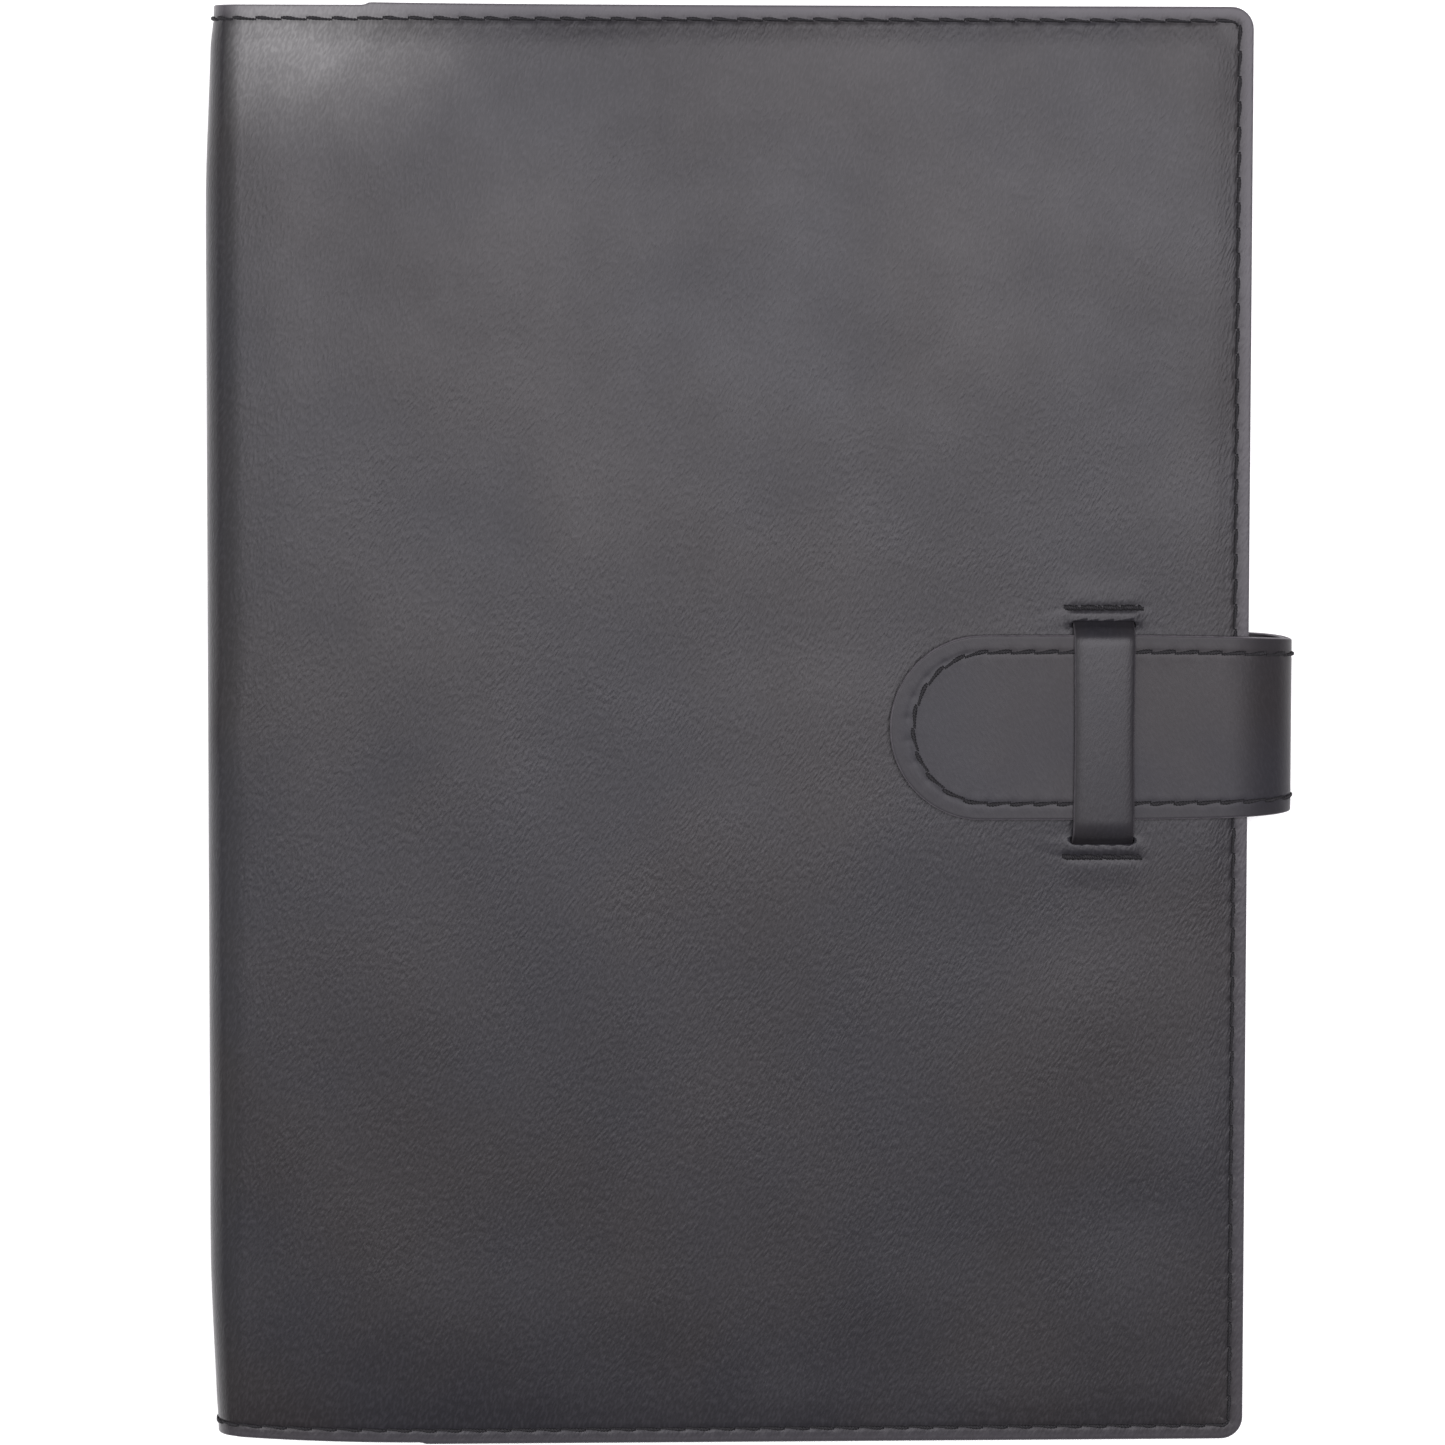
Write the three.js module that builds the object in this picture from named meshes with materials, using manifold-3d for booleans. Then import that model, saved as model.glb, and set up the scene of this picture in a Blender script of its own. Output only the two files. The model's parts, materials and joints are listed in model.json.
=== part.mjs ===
// A leather cover for an A5 notebook, closed and lying on its back panel, with the refill inside it.
// A strap sewn into the back panel folds round the fore edge and tucks under a loop on the front panel.
// Millimetres. The origin is the centre of the back panel's outer face: +X to the fore edge,
// +Y to the head, +Z out of the front panel.
import * as THREE from "three";
import { mergeVertices } from "three/addons/utils/BufferGeometryUtils.js";
import Module from "manifold-3d";

// The closed cover
const HEIGHT = 222;
const WIDTH = 160.5;
const THICKNESS = 12;
const CORNER = 3.4;
const FORE_X = WIDTH / 2;
const MID_Z = THICKNESS / 2;

// Layers of one panel, from its outer face inwards, with clear air between them
const LEATHER = 0.8;
const BOARD = 0.8;
const LINING = 0.3;
const CARD = 0.3;
const POCKET = 0.5;
const AIR = 0.1;
const BOARD_DEPTH = LEATHER + AIR;
const LINING_DEPTH = BOARD_DEPTH + BOARD + AIR;
const CARD_DEPTH = LINING_DEPTH + LINING + AIR;
const POCKET_DEPTH = CARD_DEPTH + CARD + AIR;
const PAGES_DEPTH = POCKET_DEPTH + POCKET + AIR;

// The spine is half an ellipse that joins the two panels. It has no board, so its layers sit further out.
const SPINE_BULGE = 5;
const SPINE_X = SPINE_BULGE - FORE_X;
const SPINE_SHIFT = BOARD + AIR;
const SHIFT_X = SPINE_X + 2.75;
const FOLD_ANGLE = THREE.MathUtils.degToRad(44);
const FOLD_GAP = THREE.MathUtils.degToRad(1.6);
const QUARTER = Math.PI / 2;
const ARC_STEPS = 6;

// How far a cutting or trimming solid runs past what it cuts
const OVERSHOOT = 1;

// The seam all round the cover
const SEAM_INSET = 2.2;
const SEAM_CORNER = 1.8;
const THREAD_WIDTH = 0.5;
const THREAD_HEIGHT = 0.35;
const THREAD_DEPTH = 0.1;
const GROOVE_WIDTH = 0.9;
const GROOVE_DEPTH = 0.5;
const BOARD_INSET = 3.1;
const BOARD_CORNER = 0.8;
const BOARD_SPINE_X = SPINE_X + 3.75;

// The pockets' open edges slant, and the panels stand a little taller where a pocket is sewn in
const POCKET_HEAD_X = 25 - FORE_X;
const POCKET_TAIL_X = 33.3 - FORE_X;
const PROUD = 0.4;

// The refill: five sewn sections, taped at the spine and glued to the back card
const PAGE_WIDTH = 148;
const PAGE_HEIGHT = 210;
const PAGE_SPINE_X = SPINE_X - 1.65;
const SECTIONS = 5;
const TAPE = 0.2;

// The strap, two layers of leather sewn together
const STRAP_Y = 0.4;
const STRAP_WIDTH = 28.6;
const STRAP_LAYER = 0.7;
const STRAP_BEND_X = FORE_X + 0.8;
const STRAP_BEND_R = 6.4;
const STRAP_Z = BOARD_DEPTH + STRAP_BEND_R;
const STRAP_TIP_X = FORE_X - 55.6;
const STRAP_ROOT = 14;
const STRAP_ROOT_FIT = 0.5;
const STRAP_SEAM_INSET = 2.6;
const STRAP_SEAM_TIP_INSET = 3.6;
const STRAP_FOLD = Math.PI / 4;
const STRAP_FOLD_GAP = THREE.MathUtils.degToRad(1.5);
const STRAP_SEAM_DEPTH = 0.4;
const STRAP_THREAD_HEIGHT = 0.25;

// The loop that holds the strap's tongue
const LOOP_X = 57.7;
const LOOP_Y = -0.5;
const LOOP_WIDTH = 9.5;
const LOOP_LEATHER = 0.8;
const LOOP_CREST = THICKNESS + 2.4;
const LOOP_CREST_Y = 15.5;
const LOOP_SLIT_Y = 17.4;
const LOOP_TAB = 5.2;
const LOOP_FIT = 0.8;
const SLIT = { from: 15.7, to: 17.9, side: 0.5 };
const BARTACK = { y: 19.3, length: 12 };

const wasm = await Module();
wasm.setup();

const material = (color, roughness) =>
  new THREE.MeshStandardMaterial({ color, roughness, metalness: 0 });
const leather = material(0x45434a, 0.5);
const thread = material(0x1d1b20, 0.8);
const liningCloth = material(0x2f2e33, 0.9);
const greyBoard = material(0x8f8a82, 0.95);
const card = material(0x2a2a2d, 0.8);
const paper = material(0xf1ece0, 0.95);

// A geometry as a manifold-3d solid, and a solid as a geometry.
function solid(geometry) {
  const bare = geometry.clone();
  bare.deleteAttribute("normal");
  bare.deleteAttribute("uv");
  const merged = mergeVertices(bare, 1e-4);
  return new wasm.Manifold(
    new wasm.Mesh({
      numProp: 3,
      vertProperties: merged.attributes.position.array,
      triVerts: new Uint32Array(merged.index.array),
    }),
  );
}

function geometryOf(made) {
  const mesh = made.getMesh();
  const geometry = new THREE.BufferGeometry();
  const positions = new THREE.BufferAttribute(mesh.vertProperties, 3);
  geometry.setAttribute("position", positions);
  geometry.setIndex(new THREE.BufferAttribute(mesh.triVerts, 1));
  geometry.computeVertexNormals();
  return geometry;
}

// The polygon of a layer of even thickness along a centreline of [u, v] points, with mitred corners.
function ribbon(centreline, thickness) {
  const points = centreline.map(([u, v]) => new THREE.Vector2(u, v));
  const normals = points.slice(1).map((p, i) => {
    const along = p.clone().sub(points[i]).normalize();
    return new THREE.Vector2(-along.y, along.x);
  });
  const shift = points.map((_, i) => {
    const before = normals[Math.max(i - 1, 0)];
    const after = normals[Math.min(i, normals.length - 1)];
    const middle = before.clone().add(after).normalize();
    return middle.multiplyScalar(thickness / 2 / middle.dot(after));
  });
  const left = points.map((p, i) => p.clone().add(shift[i]));
  const right = points.map((p, i) => p.clone().sub(shift[i]));
  return new THREE.Shape([...left, ...right.reverse()]);
}

// A plate of an XY outline between two heights.
function plate(shape, bottom, top) {
  const options = { depth: top - bottom, bevelEnabled: false, curveSegments: 8 };
  return new THREE.ExtrudeGeometry(shape, options).translate(0, 0, bottom);
}

// A tall solid of an XY outline, through every layer, for cutting and trimming.
const column = (shape) => solid(plate(shape, -OVERSHOOT, 2 * THICKNESS));

// A bar of an XZ outline, from y = -half to y = half.
function bar(shape, half) {
  const options = { depth: 2 * half, bevelEnabled: false };
  const made = new THREE.ExtrudeGeometry(shape, options);
  return made.rotateX(QUARTER).translate(0, half, 0);
}

const rectangle = (x0, x1, y0, y1) =>
  new THREE.Shape([
    new THREE.Vector2(x0, y0),
    new THREE.Vector2(x1, y0),
    new THREE.Vector2(x1, y1),
    new THREE.Vector2(x0, y1),
  ]);

// Points on the spine's curve at a depth below the outer face. Angle 0 is where the back panel ends.
function spineArc(depth, from, to) {
  const points = [];
  for (let i = 0; i <= ARC_STEPS; i++) {
    const angle = from + ((to - from) * i) / ARC_STEPS;
    const x = SPINE_X - (SPINE_BULGE - depth) * Math.sin(angle);
    points.push([x, MID_Z - (MID_Z - depth) * Math.cos(angle)]);
  }
  return points;
}

// A layer of a panel that runs on round the spine as far as the fold. shift moves it outwards there.
function wrapLayer(depth, thickness, shift = 0, reach = FORE_X) {
  const middle = depth + thickness / 2;
  const flat = shift ? [[reach, middle], [SHIFT_X, middle]] : [[reach, middle]];
  const curve = spineArc(middle - shift, 0, FOLD_ANGLE - FOLD_GAP);
  return bar(ribbon([...flat, ...curve], thickness), HEIGHT);
}

function spineLayer(depth, thickness, half = HEIGHT / 2) {
  const from = FOLD_ANGLE + FOLD_GAP;
  const curve = spineArc(depth + thickness / 2, from, Math.PI - from);
  return bar(ribbon(curve, thickness), half);
}

// A panel's outline seen from above: square at the spine, round at the fore edge's corners.
function panelOutline(left, inset, radius) {
  const right = FORE_X - inset;
  const top = HEIGHT / 2 - inset;
  const shape = new THREE.Shape();
  shape.moveTo(left, -top);
  shape.lineTo(right - radius, -top);
  shape.absarc(right - radius, radius - top, radius, -QUARTER, 0);
  shape.lineTo(right, top - radius);
  shape.absarc(right - radius, top - radius, radius, 0, QUARTER);
  shape.lineTo(left, top);
  return shape;
}

// The column that holds a panel. Between a pocket's open edge and the spine it is a little shorter.
function coverColumn() {
  const past = -FORE_X - OVERSHOOT;
  const low = HEIGHT / 2 - PROUD;
  return column(panelOutline(past, 0, CORNER))
    .subtract(column(rectangle(2 * past, POCKET_HEAD_X, low, HEIGHT)))
    .subtract(column(rectangle(2 * past, POCKET_TAIL_X, -HEIGHT, -low)));
}

// The column that the cover's seam covers: along the head, down the fore edge and back along the tail.
function coverSeam(width) {
  const past = -FORE_X - OVERSHOOT;
  const seam = panelOutline(past, SEAM_INSET, SEAM_CORNER).getPoints(ARC_STEPS);
  return column(ribbon(seam.map((p) => [p.x, p.y]), width));
}

const object = new THREE.Group();

// Adds a named mesh to a group, from a geometry or a manifold-3d solid.
function add(group, name, made, look) {
  const geometry = made.isBufferGeometry ? made : geometryOf(made);
  const mesh = new THREE.Mesh(geometry, look);
  mesh.name = name;
  group.add(mesh);
  return mesh;
}

const cut = (from, tools) => tools.reduce((left, tool) => left.subtract(tool), from);

// The outer leather, with the seam's groove and any other cuts
function coverLeather(cuts) {
  const groove = solid(wrapLayer(-GROOVE_DEPTH, 2 * GROOVE_DEPTH));
  const skin = solid(wrapLayer(0, LEATHER)).intersect(coverColumn());
  return cut(skin, [groove.intersect(coverSeam(GROOVE_WIDTH)), ...cuts]);
}

function coverBoard(holes) {
  const shape = panelOutline(BOARD_SPINE_X, BOARD_INSET, BOARD_CORNER);
  return cut(solid(plate(shape, BOARD_DEPTH, BOARD_DEPTH + BOARD)), holes);
}

// The refill's card goes into the pocket and ends level with the pages.
function refillCard() {
  const end = PAGE_SPINE_X + PAGE_WIDTH;
  const shape = rectangle(-FORE_X, end, -PAGE_HEIGHT / 2, PAGE_HEIGHT / 2);
  return solid(wrapLayer(CARD_DEPTH, CARD, SPINE_SHIFT, end)).intersect(column(shape));
}

function pocket() {
  const shape = new THREE.Shape([
    new THREE.Vector2(POCKET_HEAD_X, HEIGHT),
    new THREE.Vector2(POCKET_HEAD_X, HEIGHT / 2),
    new THREE.Vector2(POCKET_TAIL_X, -HEIGHT / 2),
    new THREE.Vector2(POCKET_TAIL_X, -HEIGHT),
    new THREE.Vector2(WIDTH, -HEIGHT),
    new THREE.Vector2(WIDTH, HEIGHT),
  ]);
  return solid(plate(shape, POCKET_DEPTH, POCKET_DEPTH + POCKET)).intersect(coverColumn());
}

// One panel with its layers, built as the back one, with cuts in its leather and holes in its board
function panel(side, cuts, holes) {
  const group = new THREE.Group();
  const lining = solid(wrapLayer(LINING_DEPTH, LINING, SPINE_SHIFT)).intersect(coverColumn());
  const seam = solid(wrapLayer(THREAD_DEPTH, THREAD_HEIGHT)).intersect(coverSeam(THREAD_WIDTH));
  add(group, side + "_cover_leather", coverLeather(cuts), leather);
  add(group, side + "_cover_board", coverBoard(holes), greyBoard);
  add(group, side + "_cover_lining", lining, liningCloth);
  add(group, side + "_pocket", pocket(), leather);
  add(group, side + "_cover_stitching", seam, thread);
  add(group, "refill_" + side + "_card", refillCard(), card);
  object.add(group);
  return group;
}

// The back panel's board leaves room for the strap's root.
const rootHalf = STRAP_WIDTH / 2 + STRAP_ROOT_FIT;
const rootEnd = FORE_X - STRAP_ROOT - STRAP_ROOT_FIT;
panel("back", [], [column(rectangle(rootEnd, FORE_X, STRAP_Y - rootHalf, STRAP_Y + rootHalf))]);

// A rectangle across the loop, between two distances from the loop's middle, on its head or tail side.
function acrossLoop(sign, half, near, far) {
  const [low, high] = sign > 0 ? [near, far] : [-far, -near];
  return rectangle(LOOP_X - half, LOOP_X + half, LOOP_Y + low, LOOP_Y + high);
}

const slit = (sign) => column(acrossLoop(sign, LOOP_WIDTH / 2 + SLIT.side, SLIT.from, SLIT.to));

// The hole in the board round the part of the loop that lies under the leather
function tabHole(sign) {
  const far = LOOP_SLIT_Y + LOOP_TAB + LOOP_FIT;
  return column(acrossLoop(sign, LOOP_WIDTH / 2 + LOOP_FIT, SLIT.from - LOOP_FIT, far));
}

function bartackBar(sign, width, depth, height) {
  const half = (BARTACK.length + width) / 2;
  const shape = acrossLoop(sign, half, BARTACK.y - width / 2, BARTACK.y + width / 2);
  return plate(shape, depth, depth + height);
}

const bartackGroove = (sign) =>
  solid(bartackBar(sign, GROOVE_WIDTH, -GROOVE_DEPTH, 2 * GROOVE_DEPTH));

// The front panel is the back one turned over in the Z direction.
const ENDS = { head: 1, tail: -1 };
const signs = Object.values(ENDS);
const loopCuts = [...signs.map(slit), ...signs.map(bartackGroove)];
const front = panel("front", loopCuts, signs.map(tabHole));
front.scale.z = -1;
front.position.z = THICKNESS;
for (const [end, sign] of Object.entries(ENDS)) {
  const stitch = bartackBar(sign, THREAD_WIDTH, THREAD_DEPTH, THREAD_HEIGHT);
  add(front, "loop_bartack_" + end, stitch, thread);
}

// The spine, between the two folds
const spine = new THREE.Group();
const seamY = HEIGHT / 2 - SEAM_INSET;
const spineTrim = column(rectangle(-WIDTH, 0, PROUD - HEIGHT / 2, HEIGHT / 2 - PROUD));
const spineGroove = solid(spineLayer(-GROOVE_DEPTH, 2 * GROOVE_DEPTH, GROOVE_WIDTH / 2));
const spineGrooves = signs.map((sign) => spineGroove.translate(0, sign * seamY, 0));
const spineSkin = solid(spineLayer(0, LEATHER)).intersect(spineTrim);
add(spine, "spine_leather", cut(spineSkin, spineGrooves), leather);
const spineLining = solid(spineLayer(LINING_DEPTH - SPINE_SHIFT, LINING)).intersect(spineTrim);
add(spine, "spine_lining", spineLining, liningCloth);
add(spine, "refill_spine_card", spineLayer(CARD_DEPTH - SPINE_SHIFT, CARD, PAGE_HEIGHT / 2), card);
for (const [end, sign] of Object.entries(ENDS)) {
  const stitches = spineLayer(THREAD_DEPTH, THREAD_HEIGHT, THREAD_WIDTH / 2);
  add(spine, "spine_stitching_" + end, stitches, thread).position.y = sign * seamY;
}
object.add(spine);

// The refill's sections, with their folds rounded, and the tape that joins them
const refill = new THREE.Group();
const stack = THICKNESS - 2 * PAGES_DEPTH;
const section = (stack - (SECTIONS - 1) * AIR) / SECTIONS;
for (let i = 0; i < SECTIONS; i++) {
  const fold = section / 2;
  const end = PAGE_SPINE_X + PAGE_WIDTH;
  const shape = new THREE.Shape();
  shape.moveTo(PAGE_SPINE_X + fold, 0);
  shape.lineTo(end, 0);
  shape.lineTo(end, section);
  shape.lineTo(PAGE_SPINE_X + fold, section);
  shape.absarc(PAGE_SPINE_X + fold, fold, fold, QUARTER, 3 * QUARTER);
  const leaves = add(refill, "refill_section_" + (i + 1), bar(shape, PAGE_HEIGHT / 2), paper);
  leaves.position.z = PAGES_DEPTH + i * (section + AIR);
}
const tapeX = PAGE_SPINE_X - AIR;
const tapeShape = rectangle(tapeX - TAPE, tapeX, -PAGE_HEIGHT / 2, PAGE_HEIGHT / 2);
add(refill, "refill_spine_tape", plate(tapeShape, PAGES_DEPTH, THICKNESS - PAGES_DEPTH), liningCloth);
object.add(refill);

// The strap. Its section is drawn at a depth below its outer face, and angle 0 points to the fore edge.
function strapArc(depth, from, to) {
  const points = [];
  for (let i = 0; i <= ARC_STEPS; i++) {
    const angle = from + ((to - from) * i) / ARC_STEPS;
    const radius = STRAP_BEND_R - depth;
    const x = STRAP_BEND_X + radius * Math.cos(angle);
    points.push([x, STRAP_Z + radius * Math.sin(angle)]);
  }
  return points;
}

// The strap's three stretches, each as the centreline of a layer whose middle is at a depth
const lower = -STRAP_FOLD - STRAP_FOLD_GAP;
const upper = STRAP_FOLD + STRAP_FOLD_GAP;
const stretches = {
  root: (depth, reach) => [
    [STRAP_BEND_X - reach, STRAP_Z - STRAP_BEND_R + depth],
    ...strapArc(depth, -QUARTER, lower),
  ],
  bend: (depth) => strapArc(depth, -STRAP_FOLD + STRAP_FOLD_GAP, STRAP_FOLD - STRAP_FOLD_GAP),
  tongue: (depth) => [
    ...strapArc(depth, upper, QUARTER),
    [STRAP_TIP_X, STRAP_Z + STRAP_BEND_R - depth],
  ],
};

function strapLayer(stretch, depth, thickness, reach = 0.01) {
  const centreline = stretches[stretch](depth + thickness / 2, reach);
  return solid(bar(ribbon(centreline, thickness), STRAP_WIDTH / 2));
}

const tipRadius = STRAP_WIDTH / 2;
const tipX = STRAP_TIP_X + tipRadius;
const strapShape = new THREE.Shape();
strapShape.moveTo(WIDTH, -tipRadius);
strapShape.lineTo(WIDTH, tipRadius);
strapShape.lineTo(tipX, tipRadius);
strapShape.absarc(tipX, 0, tipRadius, QUARTER, 3 * QUARTER);
const strapTrim = column(strapShape);

// The strap's seam runs up one edge, round the tip and back down the other.
function strapSeam(width) {
  const half = tipRadius - STRAP_SEAM_INSET;
  const centre = STRAP_TIP_X + STRAP_SEAM_TIP_INSET + half;
  const path = [[WIDTH, half]];
  for (let i = 0; i <= 2 * ARC_STEPS; i++) {
    const angle = QUARTER + (Math.PI * i) / (2 * ARC_STEPS);
    path.push([centre + half * Math.cos(angle), half * Math.sin(angle)]);
  }
  path.push([WIDTH, -half]);
  return column(ribbon(path, width));
}

// The outer layer reaches into the back panel as the strap's root. The inner one starts at the fore edge.
const strap = new THREE.Group();
strap.position.y = STRAP_Y;
const rootReach = { root: STRAP_BEND_X - FORE_X + STRAP_ROOT };
for (const stretch of Object.keys(stretches)) {
  const skin = strapLayer(stretch, 0, STRAP_LAYER, rootReach[stretch]).intersect(strapTrim);
  const groove = strapLayer(stretch, -STRAP_SEAM_DEPTH, 2 * STRAP_SEAM_DEPTH);
  const grooved = skin.subtract(groove.intersect(strapSeam(GROOVE_WIDTH)));
  add(strap, "strap_" + stretch + "_leather", grooved, leather);
  const backing = strapLayer(stretch, STRAP_LAYER + AIR, STRAP_LAYER).intersect(strapTrim);
  add(strap, "strap_" + stretch + "_lining", backing, leather);
  const seam = strapLayer(stretch, THREAD_DEPTH, STRAP_THREAD_HEIGHT);
  const stitches = seam.intersect(strapSeam(THREAD_WIDTH));
  if (stretch === "tongue") {
    add(strap, "strap_tongue_stitching", stitches, thread);
    continue;
  }
  for (const [end, sign] of Object.entries(ENDS)) {
    const middle = (sign * STRAP_WIDTH) / 2;
    const half = rectangle(0, WIDTH, middle - STRAP_WIDTH / 2, middle + STRAP_WIDTH / 2);
    add(strap, "strap_" + stretch + "_stitching_" + end, stitches.intersect(column(half)), thread);
  }
}
object.add(strap);

// The loop: a band over the tongue whose ends go down through the slits and lie under the leather
const tabZ = THICKNESS - BOARD_DEPTH - LOOP_LEATHER / 2;
const halfLoop = [
  [LOOP_SLIT_Y + LOOP_TAB, tabZ],
  [LOOP_SLIT_Y, tabZ],
  [LOOP_CREST_Y, LOOP_CREST],
];
const loopLine = [...halfLoop, ...halfLoop.map(([y, z]) => [-y, z]).reverse()];
const loop = bar(ribbon(loopLine, LOOP_LEATHER), LOOP_WIDTH / 2);
add(object, "loop_band", loop.rotateZ(QUARTER), leather).position.set(LOOP_X, LOOP_Y, 0);

export default object;
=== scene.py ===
"""The looks of a leather notebook cover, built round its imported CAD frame.

The cover lies closed on its back panel. Its leather, lining and refill card are sheets that bend round
the spine, and the strap is a sheet that bends round the fore edge. Each such sheet is drawn flat, as
(s, y): s is the distance from the middle of the bend and y runs from tail to head. A profile then wraps
it into place. The head is at +Y, the spine at -X and the front panel's face at +Z.
"""

import json
import math

import bmesh
import bpy
import numpy as np
from mathutils import Matrix, Vector
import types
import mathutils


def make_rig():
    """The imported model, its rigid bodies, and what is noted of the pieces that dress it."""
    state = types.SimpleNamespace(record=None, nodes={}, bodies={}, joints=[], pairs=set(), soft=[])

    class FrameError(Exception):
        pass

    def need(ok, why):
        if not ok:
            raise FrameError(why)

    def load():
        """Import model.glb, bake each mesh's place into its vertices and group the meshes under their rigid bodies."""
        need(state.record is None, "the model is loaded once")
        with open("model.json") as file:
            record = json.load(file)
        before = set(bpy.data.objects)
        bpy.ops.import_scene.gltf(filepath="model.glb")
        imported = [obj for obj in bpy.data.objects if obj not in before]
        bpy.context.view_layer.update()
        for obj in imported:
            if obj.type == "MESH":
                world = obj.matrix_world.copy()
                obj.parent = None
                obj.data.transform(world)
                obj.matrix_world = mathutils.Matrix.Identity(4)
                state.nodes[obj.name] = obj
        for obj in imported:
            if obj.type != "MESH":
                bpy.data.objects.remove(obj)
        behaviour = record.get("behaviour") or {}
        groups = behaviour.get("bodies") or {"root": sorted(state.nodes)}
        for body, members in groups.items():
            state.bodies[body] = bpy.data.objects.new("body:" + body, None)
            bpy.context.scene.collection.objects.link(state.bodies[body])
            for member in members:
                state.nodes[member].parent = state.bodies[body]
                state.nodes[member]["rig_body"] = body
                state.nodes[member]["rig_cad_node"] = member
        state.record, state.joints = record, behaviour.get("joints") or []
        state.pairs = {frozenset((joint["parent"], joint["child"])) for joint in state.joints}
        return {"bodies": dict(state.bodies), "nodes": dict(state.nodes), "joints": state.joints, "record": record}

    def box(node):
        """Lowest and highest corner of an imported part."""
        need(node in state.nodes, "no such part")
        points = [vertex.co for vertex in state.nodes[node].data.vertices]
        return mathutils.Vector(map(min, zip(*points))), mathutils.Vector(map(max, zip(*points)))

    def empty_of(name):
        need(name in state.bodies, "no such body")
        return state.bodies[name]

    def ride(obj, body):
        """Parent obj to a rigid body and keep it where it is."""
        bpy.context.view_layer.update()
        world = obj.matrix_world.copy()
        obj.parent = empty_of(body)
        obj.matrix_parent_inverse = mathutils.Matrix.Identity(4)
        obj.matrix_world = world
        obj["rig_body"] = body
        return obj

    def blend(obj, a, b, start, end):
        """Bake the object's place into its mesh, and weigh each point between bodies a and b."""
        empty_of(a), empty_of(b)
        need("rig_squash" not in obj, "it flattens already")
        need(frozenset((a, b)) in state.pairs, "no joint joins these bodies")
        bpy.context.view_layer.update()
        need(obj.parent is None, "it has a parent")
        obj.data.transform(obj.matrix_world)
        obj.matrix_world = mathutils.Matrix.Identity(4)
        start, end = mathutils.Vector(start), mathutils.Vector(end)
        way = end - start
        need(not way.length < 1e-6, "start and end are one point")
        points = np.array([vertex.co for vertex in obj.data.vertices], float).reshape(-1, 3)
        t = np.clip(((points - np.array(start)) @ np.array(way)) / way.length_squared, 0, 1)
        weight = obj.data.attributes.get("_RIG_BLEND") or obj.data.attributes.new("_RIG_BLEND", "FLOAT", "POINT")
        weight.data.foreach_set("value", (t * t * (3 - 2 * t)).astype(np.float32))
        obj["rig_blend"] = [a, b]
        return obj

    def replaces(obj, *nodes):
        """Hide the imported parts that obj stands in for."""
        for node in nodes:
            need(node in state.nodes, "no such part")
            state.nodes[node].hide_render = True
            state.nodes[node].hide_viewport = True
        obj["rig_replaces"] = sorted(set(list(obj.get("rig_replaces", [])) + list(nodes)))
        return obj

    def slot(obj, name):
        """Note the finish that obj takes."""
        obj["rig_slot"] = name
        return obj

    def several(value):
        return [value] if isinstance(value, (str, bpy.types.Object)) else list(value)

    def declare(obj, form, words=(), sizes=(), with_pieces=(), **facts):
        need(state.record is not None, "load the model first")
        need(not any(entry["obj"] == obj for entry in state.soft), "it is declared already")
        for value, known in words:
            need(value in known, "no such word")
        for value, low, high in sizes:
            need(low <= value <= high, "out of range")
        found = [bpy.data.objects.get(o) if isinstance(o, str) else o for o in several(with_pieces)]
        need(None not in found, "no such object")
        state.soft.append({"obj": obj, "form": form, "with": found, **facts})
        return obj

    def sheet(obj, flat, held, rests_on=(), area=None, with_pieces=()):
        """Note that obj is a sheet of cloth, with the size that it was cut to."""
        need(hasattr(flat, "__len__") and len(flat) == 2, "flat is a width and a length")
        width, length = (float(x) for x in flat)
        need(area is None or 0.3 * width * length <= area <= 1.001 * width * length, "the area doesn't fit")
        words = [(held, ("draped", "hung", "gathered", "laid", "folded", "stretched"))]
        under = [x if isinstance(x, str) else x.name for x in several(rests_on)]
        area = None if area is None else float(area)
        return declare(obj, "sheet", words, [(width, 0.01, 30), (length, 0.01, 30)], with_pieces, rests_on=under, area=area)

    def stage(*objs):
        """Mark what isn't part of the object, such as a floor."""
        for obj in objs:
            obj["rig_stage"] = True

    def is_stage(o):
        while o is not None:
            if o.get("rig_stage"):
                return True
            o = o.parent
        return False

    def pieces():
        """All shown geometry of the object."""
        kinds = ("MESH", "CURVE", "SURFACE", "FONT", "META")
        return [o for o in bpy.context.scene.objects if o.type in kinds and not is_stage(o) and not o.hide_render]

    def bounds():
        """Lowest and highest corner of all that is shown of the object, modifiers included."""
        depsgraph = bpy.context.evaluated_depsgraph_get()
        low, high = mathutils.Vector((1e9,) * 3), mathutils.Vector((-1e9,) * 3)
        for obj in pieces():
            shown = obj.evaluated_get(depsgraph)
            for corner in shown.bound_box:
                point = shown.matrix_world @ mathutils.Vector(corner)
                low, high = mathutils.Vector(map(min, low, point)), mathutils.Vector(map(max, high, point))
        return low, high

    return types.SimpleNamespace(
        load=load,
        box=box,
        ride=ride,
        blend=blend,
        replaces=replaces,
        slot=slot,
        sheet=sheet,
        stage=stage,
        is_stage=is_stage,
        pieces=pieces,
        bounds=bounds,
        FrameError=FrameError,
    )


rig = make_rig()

MM = 0.001
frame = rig.load()
cad_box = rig.bounds()


def span(node):
    """The lowest and highest corners of a CAD node, in millimetres."""
    return [np.array(corner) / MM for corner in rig.box(node)]


# ---- dimensions, in millimetres

# the closed cover
panel_high = span("front_cover_leather")[1]
FORE_X, HALF_HEIGHT, THICKNESS = panel_high
MID_Z = THICKNESS / 2
CORNER = 3.4

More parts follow.
